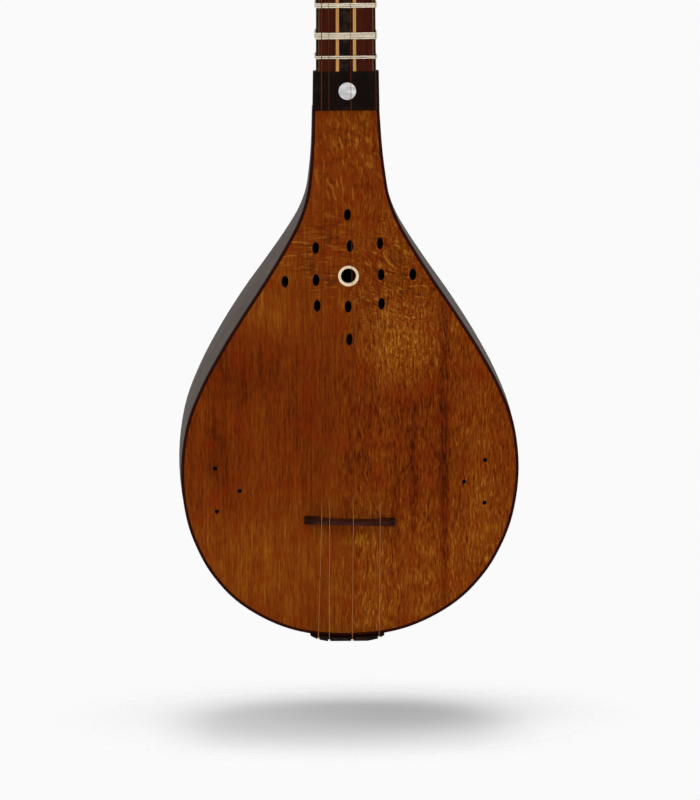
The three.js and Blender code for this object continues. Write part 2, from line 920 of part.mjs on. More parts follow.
function pegGeometry(string) {
  const { passage } = pegPlace(string);
  const tip = -passage - pegTipReach;
  const waist = pegReach + pegBeadLength;
  const thumbMiddle = waist + pegWaistLength + thumbLength / 2 - pegWaistRadius;
  const profile = [
    [0, tip],
    [pegTipRadius - pegTipRounding, tip],
    [pegTipRadius, tip + pegTipRounding],
    [pegRadius, pegReach],
    [pegBeadRadius - pegBeadLength / 4, pegReach],
    [pegBeadRadius, pegReach + pegBeadLength / 3],
    [pegBeadRadius, waist - pegBeadLength / 3],
    [pegBeadRadius - pegBeadLength / 4, waist],
    [pegWaistRadius, waist + pegBeadLength / 4],
    [pegWaistRadius, thumbMiddle],
    [0, thumbMiddle],
  ].map(([radius, out]) => new THREE.Vector2(radius, out));
  const thumb = new THREE.SphereGeometry(1, pegFacets, pegFacets / 2);
  thumb.scale(thumbWidth / 2, thumbLength / 2, thumbThickness / 2);
  thumb.translate(0, thumbMiddle, 0);
  return toGeometry(toSolid(new THREE.LatheGeometry(profile, pegFacets)).add(toSolid(thumb)));
}

function addPegs() {
  strings.forEach((string) => {
    const peg = addPiece(`peg_${string.name}`, pegGeometry(string), finish.neck);
    setOnPegAxis(peg, string);
  });
}

// Strings
// A line through listed points, stepped at those points.
class Route extends THREE.Curve {
  constructor(points) {
    super();
    this.points = points;
  }
  getPoint(share, target = new THREE.Vector3()) {
    const place = share * (this.points.length - 1);
    const i = Math.min(Math.floor(place + weldDistance), this.points.length - 2);
    return target.lerpVectors(this.points[i], this.points[i + 1], Math.max(0, place - i));
  }
  getPointAt(share, target) {
    return this.getPoint(share, target);
  }
  getTangentAt(share, target = new THREE.Vector3()) {
    const last = this.points.length - 1;
    const i = Math.round(share * last);
    const before = this.points[Math.max(0, i - 1)];
    const here = this.points[i];
    const after = this.points[Math.min(last, i + 1)];
    const arriving = here.clone().sub(before).normalize();
    const leaving = after.clone().sub(here).normalize();
    return target.addVectors(arriving, leaving).normalize();
  }
}

// The turns on a peg from the point where a string arriving from the nut first touches them.
function windingPoints(string, from) {
  const place = pegPlace(string);
  const fromSide = string.pegSide === "left";
  const radius = pegRadius + fitGap + string.gauge / 2;
  const centre = new THREE.Vector2(fromSide ? place.inwards : place.across, place.height);
  const source = new THREE.Vector2(fromSide ? from.y : from.x, from.z);
  const away = source.clone().sub(centre);
  const sense = fromSide ? -1 : 1;
  const firstAngle = away.angle() + sense * Math.acos(radius / away.length());
  const start = (fromSide ? place.across : place.inwards) - windingFromHead;
  return Array.from({ length: windingTurns * windingSteps + 1 }, (_, i) => {
    const turns = i / windingSteps;
    const angle = firstAngle + sense * turns * 2 * Math.PI;
    const side = centre.x + radius * Math.cos(angle);
    const height = centre.y + radius * Math.sin(angle);
    const out = start - turns * windingPitch;
    return fromSide
      ? new THREE.Vector3(out, side, height)
      : new THREE.Vector3(side, out, height);
  });
}

function stringPoints(string) {
  const radius = string.gauge / 2;
  const tailX = stringAcross(string, "tail");
  const bridgeX = stringAcross(string, "bridge");
  const nutX = stringAcross(string, "nut");
  const groove = underside(tailX) + grooveSeat + radius;
  const front = -tailpieceFront - fitGap - radius;
  const slant = Math.tan(THREE.MathUtils.degToRad(bridgeSlantDegrees));
  const bridgeZ = bridgeHeight - (bridgeX - bridgeAcross) * slant;
  const corner = routeCornerRadius;
  const onNut = new THREE.Vector3(nutX, -stringRiseAtNut, headFoot);
  return [
    new THREE.Vector3(tailX, tailGrooveEnd - fitGap, groove),
    new THREE.Vector3(tailX, front + corner, groove),
    new THREE.Vector3(tailX, front + corner / 4, groove + corner / 4),
    new THREE.Vector3(tailX, front, groove + corner),
    new THREE.Vector3(bridgeX, -stringRiseAtBridge, bridgeZ),
    new THREE.Vector3(nutX, -stringRiseAtNut, nutHeight),
    onNut,
    ...windingPoints(string, onNut),
  ];
}

// The least gap between two turns of a string, measured between its points.
function leastGap(string, points) {
  const apart = Math.floor(windingSteps / 2);
  let least = Infinity;
  points.forEach((point, i) => {
    points.slice(i + apart).forEach((other) => {
      least = Math.min(least, point.distanceTo(other) - string.gauge);
    });
  });
  return least;
}

function addStrings() {
  strings.forEach((string) => {
    const points = stringPoints(string);
    const section = new THREE.Shape(
      ovalPath(0, 0, string.gauge, string.gauge, stringSides).getPoints(),
    );
    const geometry = new THREE.ExtrudeGeometry(section, {
      steps: points.length - 1,
      extrudePath: new Route(points),
    });
    const look = { color: string.colour, roughness: 0.3, metalness: 1 };
    addPiece(`string_${string.name}`, geometry, look);
    const gap = leastGap(string, points.slice(-windingTurns * windingSteps - 1));
    console.log(`string_${string.name}: least gap between turns ${gap.toFixed(2)} mm`);
  });
}

addBowl();
addBlocks();
addSoundboard();
addCollar();
addNeck();
addFingerboard();
addNut();
addBridge();
addTailpiece();
addFrets();
addPegs();
addStrings();

export default setar;
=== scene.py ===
"""Dresses a setar in fine meshes and finishes, and sets it in a plain studio.

Meshes are in metres, in the model's own frame: X to the viewer's right, Y from the soundboard into the
bowl and Z up the neck. The sizes in the classes and the coordinates in the materials are in millimetres.
"""

import logging
import math
from collections.abc import Callable
from dataclasses import dataclass
from enum import Enum
from functools import lru_cache

import bmesh
import bpy
from mathutils import Matrix, Quaternion, Vector


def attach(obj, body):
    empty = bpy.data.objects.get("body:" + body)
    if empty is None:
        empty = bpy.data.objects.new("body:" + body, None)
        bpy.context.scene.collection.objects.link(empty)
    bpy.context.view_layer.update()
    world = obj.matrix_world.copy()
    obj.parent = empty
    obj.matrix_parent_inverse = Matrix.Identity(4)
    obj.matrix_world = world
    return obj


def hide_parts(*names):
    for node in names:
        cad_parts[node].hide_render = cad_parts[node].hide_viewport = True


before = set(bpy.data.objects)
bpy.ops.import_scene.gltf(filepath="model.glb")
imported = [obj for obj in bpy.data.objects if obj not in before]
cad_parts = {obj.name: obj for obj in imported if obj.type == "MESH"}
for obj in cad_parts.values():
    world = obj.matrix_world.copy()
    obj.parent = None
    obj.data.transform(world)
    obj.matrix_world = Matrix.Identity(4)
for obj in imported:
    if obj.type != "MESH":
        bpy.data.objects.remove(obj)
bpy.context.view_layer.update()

LOG = logging.getLogger("setar")
MM = 0.001
PER_MM = 1000.0
INSTRUMENT = "instrument"
SMOOTH_DEGREES = 32.0
TUBE_DEGREES = 60.0
BEVEL_DEGREES = 28.0
FLAT_DEGREES = 0.6
SAME_POINT = 0.0002 * MM
SAME_CORNER = 0.001 * MM
ROUNDING = 1e-9
CENTS_IN_OCTAVE = 1200

Piece = bpy.types.Object
Material = bpy.types.Material
Socket = bpy.types.NodeSocket
Colour = tuple[float, float, float, float]
Faces = list[tuple[int, ...]]
Section = list[tuple[float, float]]


class Direction(Enum):
    """The way the grain of a piece of wood runs, as the turn that brings it to Z."""

    UP = (0, 0, 0)
    ACROSS = (0, math.pi / 2, 0)
    DEEP = (math.pi / 2, 0, 0)
    FIBRE = None


class PegSide(Enum):
    """Which face of the head a peg goes in by."""

    LEFT = "left"
    FRONT = "front"


# Meshes


def mix(start: float, end: float, share: float) -> float:
    """Give the value a share of the way from start to end."""
    return start + (end - start) * share


def clamp(value: float) -> float:
    """Keep a value between 0 and 1."""
    return max(0.0, min(1.0, value))


def new_object(name: str, data: bpy.types.ID) -> Piece:
    """Put an object in the scene.

    Args:
        name: The object's name.
        data: Its mesh, curve, lamp or camera.

    Returns:
        The new object.
    """
    made = bpy.data.objects.new(name, data)
    bpy.context.scene.collection.objects.link(made)
    return made


def new_piece(name: str, vertices: list[Vector], faces: Faces, edges: Faces | tuple[()] = ()) -> Piece:
    """Make an object from vertices and faces, at the origin.

    Args:
        name: The piece's name.
        vertices: Its corners, in metres.
        faces: Its faces, as places in vertices.
        edges: Its loose edges, as places in vertices.

    Returns:
        The new object.
    """
    mesh = bpy.data.meshes.new(name)
    mesh.from_pydata([tuple(vertex) for vertex in vertices], edges, faces)
    mesh.update()
    return new_object(name, mesh)


def turn_outwards(piece: Piece) -> None:
    """Merge a closed mesh's doubled corners and point its faces outwards.

    Args:
        piece: The object to mend.
    """
    shape = bmesh.new()
    shape.from_mesh(piece.data)
    bmesh.ops.remove_doubles(shape, verts=shape.verts, dist=SAME_POINT)
    bmesh.ops.recalc_face_normals(shape, faces=shape.faces)
    shape.to_mesh(piece.data)
    shape.free()


def shade(piece: Piece, degrees: float = SMOOTH_DEGREES) -> None:
    """Shade a piece smooth, but for edges whose faces meet at more than some degrees."""
    piece.data.shade_smooth()
    piece.data.set_sharp_from_angle(angle=math.radians(degrees))


def evaluated(piece: Piece) -> bpy.types.Mesh:
    """Give a new mesh of an object's shape, with its modifiers or curve settings used up."""
    graph = bpy.context.evaluated_depsgraph_get()
    return bpy.data.meshes.new_from_object(piece.evaluated_get(graph))


def settle_modifiers(piece: Piece) -> None:
    """Turn a piece's modifiers into plain mesh and remove them.

    Args:
        piece: The object whose modifiers are used up.
    """
    mesh = evaluated(piece)
    piece.modifiers.clear()
    piece.data = mesh


def loft(rings: list[list[Vector]], closed: bool = False) -> tuple[list[Vector], Faces]:
    """Join rings of equally many points into a skin.

    Args:
        rings: The rings in order.
        closed: Whether the last ring joins the first, instead of each end having a cap.

    Returns:
        The skin's vertices and faces.
    """
    size = len(rings[0])
    vertices = [point for ring in rings for point in ring]
    faces = []
    spans = len(rings) if closed else len(rings) - 1
    for i in range(spans):
        here = i * size
        there = ((i + 1) % len(rings)) * size
        for j in range(size):
            k = (j + 1) % size
            faces.append((here + j, there + j, there + k, here + k))
    if not closed:
        last = (len(rings) - 1) * size
        faces.append(tuple(range(size)))
        faces.append(tuple(last + j for j in reversed(range(size))))
    return vertices, faces


def lofted(
    name: str, rings: list[list[Vector]], closed: bool = False, marks: list[list[Vector]] | None = None
) -> Piece:
    """Make a piece by joining rings, with its faces outwards.

    Args:
        name: The piece's name.
        rings: Rings of equally many points.
        closed: Whether the last ring joins the first.
        marks: Each point's place in the wood, in millimetres, or None.

    Returns:
        The new object.
    """
    piece = new_piece(name, *loft(rings, closed))
    if marks is not None:
        fibre = piece.data.attributes.new("fibre", "FLOAT_VECTOR", "POINT")
        fibre.data.foreach_set("vector", [v for ring in marks for mark in ring for v in mark])
    turn_outwards(piece)
    shade(piece)
    return piece


def softened(name: str, node: str, bevel: float, steps: int = 3) -> Piece:
    """Copy a solid of the frame with its sharp edges rounded.

    Args:
        name: The new piece's name.
        node: The solid that is copied.
        bevel: How wide the rounding is.
        steps: How many faces each rounding has.

    Returns:
        The new object.
    """
    shape = bmesh.new()
    shape.from_mesh(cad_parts[node].data)
    bmesh.ops.remove_doubles(shape, verts=shape.verts, dist=SAME_CORNER)
    flat = math.radians(FLAT_DEGREES)
    bmesh.ops.dissolve_limit(shape, angle_limit=flat, verts=shape.verts, edges=shape.edges)
    bmesh.ops.recalc_face_normals(shape, faces=shape.faces)
    mesh = bpy.data.meshes.new(name)
    shape.to_mesh(mesh)
    shape.free()
    if "custom_normal" in mesh.attributes:
        mesh.attributes.remove(mesh.attributes["custom_normal"])
    piece = new_object(name, mesh)
    rounding = piece.modifiers.new("rounding", "BEVEL")
    rounding.width = bevel * MM
    rounding.segments = steps
    rounding.limit_method = "ANGLE"
    rounding.angle_limit = math.radians(BEVEL_DEGREES)
    rounding.harden_normals = False
    settle_modifiers(piece)
    shade(piece)
    return piece


def cut_plate(name: str, loops: list[list[Vector]], depth: float, bevel: float) -> Piece:
    """Make a flat plate with holes and rounded edges, whose front face is the board's.

    Args:
        name: The plate's name.
        loops: The outline first and then its holes, as points across and up.
        depth: The depth of its back face.
        bevel: How wide the rounding of its edges is.

    Returns:
        The new object.
    """
    curve = bpy.data.curves.new(name, "CURVE")
    curve.dimensions = "2D"
    curve.fill_mode = "BOTH"
    curve.extrude = (depth / 2 - bevel) * MM
    curve.bevel_depth = bevel * MM
    curve.bevel_resolution = 2
    curve.offset = -bevel * MM
    for place, loop in enumerate(loops):
        runs_left = sum(a.cross(b) for a, b in zip(loop, loop[1:] + loop[:1])) > 0
        points = loop if runs_left == (place == 0) else loop[::-1]
        spline = curve.splines.new("POLY")
        spline.points.add(len(points) - 1)
        spline.points.foreach_set("co", [v for p in points for v in (p.x * MM, p.y * MM, 0, 1)])
        spline.use_cyclic_u = True
    holder = new_object(name, curve)
    mesh = evaluated(holder)
    bpy.data.objects.remove(holder)
    mesh.transform(facing(0, 0, depth / 2))
    piece = new_object(name, mesh)
    turn_outwards(piece)
    shade(piece)
    return piece


def facing(across: float, height: float, inwards: float = 0.0) -> Matrix:
    """Give the move that sets a shape made on the floor upright, with its top to the front."""
    place = Matrix.Translation(Vector((across, inwards, height)) * MM)
    return place @ Matrix.Rotation(math.pi / 2, 4, "X")


def circle(count: int) -> Section:
    """Give the cosine and sine of evenly spaced turns."""
    turns = [2 * math.pi * i / count for i in range(count)]
    return [(math.cos(turn), math.sin(turn)) for turn in turns]


def quarter(steps: int = 5) -> Section:
    """Give points of a rounded corner, as shares that fall from 1 to 0 and that rise from 0 to 1."""
    turns = [math.pi / 2 * step / steps for step in range(steps + 1)]
    return [(1 - math.sin(turn), 1 - math.cos(turn)) for turn in turns]


def squared(angle: float, power: float) -> tuple[float, float]:
    """Give the place across and inwards at an angle of a half circle that is drawn out to its corners."""
    across = math.copysign(abs(math.cos(angle)) ** (2 / power), math.cos(angle))
    return across, max(0.0, math.sin(angle)) ** (2 / power)


def oval(across: float, up: float, width: float, height: float, facets: int) -> list[Vector]:
    """Give the points, across and up, of an oval in the soundboard's plane."""
    middle = Vector((across, up))
    return [middle + Vector((width / 2 * cosine, height / 2 * sine)) for cosine, sine in circle(facets)]


def lathed(name: str, profile: Section, facets: int, place: Matrix) -> Piece:
    """Turn a closed profile round the Z axis and put it in its place.

    Args:
        name: The piece's name.
        profile: Points as radius and height, round the section.
        facets: How many steps the turn has.
        place: Where the turned shape goes.

    Returns:
        The new object.
    """
    rings = []
    for cosine, sine in circle(facets):
        rings.append([place @ (Vector((r * cosine, r * sine, h)) * MM) for r, h in profile])
    return lofted(name, rings, closed=True)


def hand_over(piece: Piece, material: Material, slot: str, *nodes: str, body: str = INSTRUMENT) -> None:
    """Give a finished piece its material and its place in the frame.

    Args:
        piece: The finished object.
        material: Its material.
        slot: The record's material slot; not used.
        nodes: The frame's nodes that it stands for.
        body: The body that it rides on.
    """
    piece.data.materials.clear()
    piece.data.materials.append(material)
    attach(piece, body)
    if nodes:
        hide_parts(*nodes)
    LOG.info("%s: %d faces on %s", piece.name, len(piece.data.polygons), body)


def dress_node(node: str, material: Material) -> None:
    """Give a solid of the frame that stays in view a better material.

    Args:
        node: The solid's name.
        material: Its material.
    """
    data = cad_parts[node].data
    data.materials.clear()
    data.materials.append(material)


# Shader and geometry trees


class TreeBuilder:
    """Adds nodes to one node tree and links them."""

    def __init__(self, tree: bpy.types.NodeTree) -> None:
        """Keep the tree that is built."""
        self.tree = tree

    def add(self, kind: str, feeds: dict | None = None, **settings: object) -> bpy.types.Node:
        """Add a node.

        Args:
            kind: The node's type.
            feeds: Its inputs, by name or number, as values or as sockets to link.
            settings: Its other settings.

        Returns:
            The new node.
        """
        node = self.tree.nodes.new(kind)
        for name, value in settings.items():
            setattr(node, name, value)
        for key, value in (feeds or {}).items():
            self.feed(node.inputs[key], value)
        return node

    def feed(self, socket: Socket, value: object) -> None:
        """Link a socket into an input, or set the input's value.

        Args:
            socket: The input.
            value: A value, or the socket to link.
        """
        if isinstance(value, Socket):
            self.tree.links.new(value, socket)
        else:
            socket.default_value = value

    def take(self, kind: str, feeds: dict | None = None, **settings: object) -> Socket:
        """Add a node and give its first output."""
        return self.add(kind, feeds, **settings).outputs[0]

    def math(self, operation: str, first: object, second: object = 0.0) -> Socket:
        """Work out a sum of two values or sockets."""
        return self.take("ShaderNodeMath", {0: first, 1: second}, operation=operation)

    def sum(self, first: object, second: object) -> Socket:
        """Add two values."""
        return self.math("ADD", first, second)

    def less(self, first: object, second: object) -> Socket:
        """Take the second value from the first."""
        return self.math("SUBTRACT", first, second)

    def times(self, first: object, second: object) -> Socket:
        """Multiply two values."""
        return self.math("MULTIPLY", first, second)

    def over(self, first: object, second: object) -> Socket:
        """Divide the first value by the second."""
        return self.math("DIVIDE", first, second)

    def centred(self, value: object) -> Socket:
        """Move a value from between 0 and 1 to either side of 0."""
        return self.less(value, 0.5)

    def span(
        self, value: object, low: object, high: object, start: object = 0.0, end: object = 1.0
    ) -> Socket:
        """Ease a value that goes from low to high into one that goes from start to end."""
        feeds = {0: value, 1: low, 2: high, 3: start, 4: end}
        return self.take("ShaderNodeMapRange", feeds, interpolation_type="SMOOTHSTEP")

    def blend(self, share: object, first: object, second: object) -> Socket:
        """Mix two colours by the second's share."""
        feeds = {0: share, 6: first, 7: second}
        return self.add("ShaderNodeMix", feeds, data_type="RGBA").outputs[2]

    def ramp(self, share: object, colours: tuple) -> Socket:
        """Turn a share from 0 to 1 into a colour from an evenly spaced row.

        Args:
            share: The share's socket.
            colours: The colours in order.

        Returns:
            The colour's socket.
        """
        node = self.add("ShaderNodeValToRGB", {0: share})
        stops = node.color_ramp.elements
        for place in range(1, len(colours) - 1):
            stops.new(place / (len(colours) - 1))
        for stop, colour in zip(stops, colours):
            stop.color = colour
        return node.outputs[0]

    def noise(
        self, place: object, scale: float, detail: float = 2.0, seed: object = 0.0, rough: float = 0.5
    ) -> Socket:
        """Give a soft random value over the surface, with some finer layers."""
        feeds = {"Vector": place, "W": seed, "Scale": scale, "Detail": detail, "Roughness": rough}
        return self.take("ShaderNodeTexNoise", feeds, noise_dimensions="4D")

    def stretched(self, place: object, x: object, y: object, z: object) -> Socket:
        """Scale coordinates by a factor for each axis."""
        scale = self.take("ShaderNodeCombineXYZ", {0: x, 1: y, 2: z})
        return self.take("ShaderNodeVectorMath", {0: place, 1: scale}, operation="MULTIPLY")

    def shifted(self, place: object, across: object, up: object = 0.0) -> Socket:
        """Shift coordinates across and up."""
        shift = self.take("ShaderNodeCombineXYZ", {0: across, 2: up})
        return self.take("ShaderNodeVectorMath", {0: place, 1: shift}, operation="ADD")

    def split(self, place: object) -> list[Socket]:
        """Give the three parts of coordinates."""
        return list(self.add("ShaderNodeSeparateXYZ", {0: place}).outputs)

    def along(self) -> Socket:
        """Give the length along a strand, in metres."""
        return self.add("ShaderNodeAttribute", attribute_name="along").outputs["Fac"]


class GroupKind(Enum):
    """The shader groups that several materials share."""

    GRAIN = "wood_grain"
    FLECKS = "flecks"
    HANDLING = "handling"
    EDGE_WEAR = "edge_wear"


class SharedGroups:
    """Builds each shared shader group once and places it in materials."""

    def __init__(self) -> None:
        """Build all the groups."""
        self.trees = {
            GroupKind.GRAIN: self.grain(),
            GroupKind.FLECKS: self.flecks(),
            GroupKind.HANDLING: self.handling(),
            GroupKind.EDGE_WEAR: self.edge_wear(),
        }

    def start(self, kind: GroupKind, *sizes: str) -> tuple[TreeBuilder, bpy.types.NodeOutputs]:
        """Start a group that reads coordinates and some sizes.

        Args:
            kind: Which group it is.
            sizes: The names of its number inputs.

        Returns:
            A builder for the group, and what its input node gives.
        """
        tree = bpy.data.node_groups.new(kind.value, "ShaderNodeTree")
        tree.interface.new_socket("Place", in_out="INPUT", socket_type="NodeSocketVector")
        for size in sizes:
            tree.interface.new_socket(size, in_out="INPUT", socket_type="NodeSocketFloat")
        tree.interface.new_socket("Value", in_out="OUTPUT", socket_type="NodeSocketFloat")
        build = TreeBuilder(tree)
        return build, build.add("NodeGroupInput").outputs

    def grain(self) -> bpy.types.NodeTree:
        """Build fine fibre lines that run along Z and waver a little.

        Returns:
            The group's tree.
        """
        build, given = self.start(GroupKind.GRAIN, "Pitch", "Stretch", "Waver", "Seed")
        place, seed = given["Place"], given["Seed"]
        sway = build.centred(build.noise(place, 0.035, 1, seed))
        moved = build.shifted(place, build.times(sway, given["Waver"]))
        fine = build.over(1.0, given["Pitch"])
        long = build.over(fine, given["Stretch"])
        lines = build.noise(build.stretched(moved, fine, fine, long), 1, 3, seed, 0.6)
        build.add("NodeGroupOutput", {0: build.span(lines, 0.3, 0.7)})
        return build.tree

    def flecks(self) -> bpy.types.NodeTree:
        """Build a mask of short dashes that lie along Z.

        Returns:
            The group's tree.
        """
        build, given = self.start(GroupKind.FLECKS, "Width", "Length", "Cover", "Seed")
        fine = build.over(1.0, given["Width"])
        long = build.over(1.0, given["Length"])
        place = build.stretched(given["Place"], fine, fine, long)
        dashes = build.noise(place, 0.7, 1, given["Seed"])
        edge = build.span(given["Cover"], 0, 1, 0.8, 0.35)
        build.add("NodeGroupOutput", {0: build.span(dashes, edge, build.sum(edge, 0.12))})
        return build.tree

    def handling(self) -> bpy.types.NodeTree:
        """Build the uneven gloss that hands and cloths leave.

        Returns:
            The group's tree.
        """
        build, given = self.start(GroupKind.HANDLING, "Size", "Seed")
        place, seed = given["Place"], given["Seed"]
        scale = build.over(1.0, given["Size"])
        broad = build.noise(place, scale, 3, seed)
        fine = build.noise(place, build.times(scale, 14), 2, seed)
        both = build.sum(build.times(broad, 0.75), build.times(fine, 0.25))
        build.add("NodeGroupOutput", {0: build.span(both, 0.3, 0.7)})
        return build.tree

    def edge_wear(self) -> bpy.types.NodeTree:
        """Build a mask of the outer edges, broken up by small patches.

        Returns:
            The group's tree.
        """
        build, given = self.start(GroupKind.EDGE_WEAR, "Size", "Seed")
        edges = build.add("ShaderNodeNewGeometry").outputs["Pointiness"]
        patches = build.noise(given["Place"], build.over(1.0, given["Size"]), 3, given["Seed"])
        mask = build.times(build.span(edges, 0.52, 0.6), build.span(patches, 0.4, 0.65))
        build.add("NodeGroupOutput", {0: mask})
        return build.tree


class Maker:
    """Starts a material and finishes it, with the shared groups at hand."""

    def __init__(self, name: str, groups: SharedGroups, direction: Direction) -> None:
        """Start a material whose coordinates are millimetres, with Z along the grain.

        Args:
            name: The material's name.
            groups: The shared groups.
            direction: The way the grain runs.
        """
        self.material = bpy.data.materials.new(name)
        self.material.use_nodes = True
        self.material.node_tree.nodes.clear()
        self.groups = groups
        self.build = TreeBuilder(self.material.node_tree)
        if direction is Direction.FIBRE:
            fibre = self.build.add("ShaderNodeAttribute", attribute_name="fibre")
            self.place = fibre.outputs["Vector"]
            return
        coordinates = self.build.add("ShaderNodeTexCoord").outputs["Object"]
        feeds = {"Vector": coordinates, "Rotation": direction.value, "Scale": (PER_MM, PER_MM, PER_MM)}
        self.place = self.build.take("ShaderNodeMapping", feeds)

    def group(self, kind: GroupKind, place: object | None = None, **sizes: float) -> Socket:
        """Place a shared group with its own values.

        Args:
            kind: Which group.
            place: Its coordinates, or None for the material's own.
            sizes: Its number inputs, with their first letters small.

        Returns:
            The socket of its value.
        """
        feeds = {name.capitalize(): value for name, value in sizes.items()}
        feeds["Place"] = self.place if place is None else place
        return self.build.take("ShaderNodeGroup", feeds, node_tree=self.groups.trees[kind])

    def handled(self, size: float, seed: float, gloss: float, dull: float) -> Socket:
        """Give a roughness that hands have made uneven, between gloss and dull."""
        mask = self.group(GroupKind.HANDLING, size=size, seed=seed)
        return self.build.span(mask, 0, 1, gloss, dull)

    def finish(
        self, colour: object, roughness: object, height: object | None, depth: float, **plain: object
    ) -> Material:
        """Add the surface shader and return the material.

        Args:
            colour: The base colour.
            roughness: The roughness.
            height: A value that raises the surface, or None.
            depth: How far it raises it, in millimetres.
            plain: The shader's other inputs, as plain values.

        Returns:
            The finished material.
        """
        feeds = {"Base Color": colour, "Roughness": roughness}
        for name, value in plain.items():
            feeds[name.replace("_", " ").title().replace("Ior", "IOR")] = value
        if height is not None:
            relief = {"Strength": 1.0, "Distance": depth * MM, "Height": height}
            feeds["Normal"] = self.build.take("ShaderNodeBump", relief)
        shader = self.build.take("ShaderNodeBsdfPrincipled", feeds)
        self.build.add("ShaderNodeOutputMaterial", {"Surface": shader})
        return self.material


def srgb(red: int, green: int, blue: int) -> Colour:
    """Turn a colour as a screen shows it into the linear one that a shader takes.

    Args:
        red: Its red, up to 255.
        green: Its green, up to 255.
        blue: Its blue, up to 255.

    Returns:
        The colour, without transparency.
    """
    shares = [part / 255 for part in (red, green, blue)]
    linear = [s / 12.92 if s <= 0.04045 else ((s + 0.055) / 1.055) ** 2.4 for s in shares]
    return (linear[0], linear[1], linear[2], 1.0)


@dataclass(frozen=True)
class Patch:
    """A soft-edged place on the soundboard, in millimetres across and up, and how strong it is."""

    across: float
    up: float
    reach_across: float
    reach_up: float
    share: float = 1.0

    def mask(self, build: TreeBuilder, x: object, z: object) -> Socket:
        """Build the patch's mask, from its middle out to its reach.

        Args:
            build: The material's builder.
            x: The socket of the place across.
            z: The socket of the place up.

        Returns:
            The mask's socket.
        """
        dx = build.over(build.less(x, self.across), self.reach_across)
        dz = build.over(build.less(z, self.up), self.reach_up)
        away = build.math("SQRT", build.sum(build.times(dx, dx), build.times(dz, dz)))
        return build.span(away, 0.25, 1.0, self.share, 0.0)


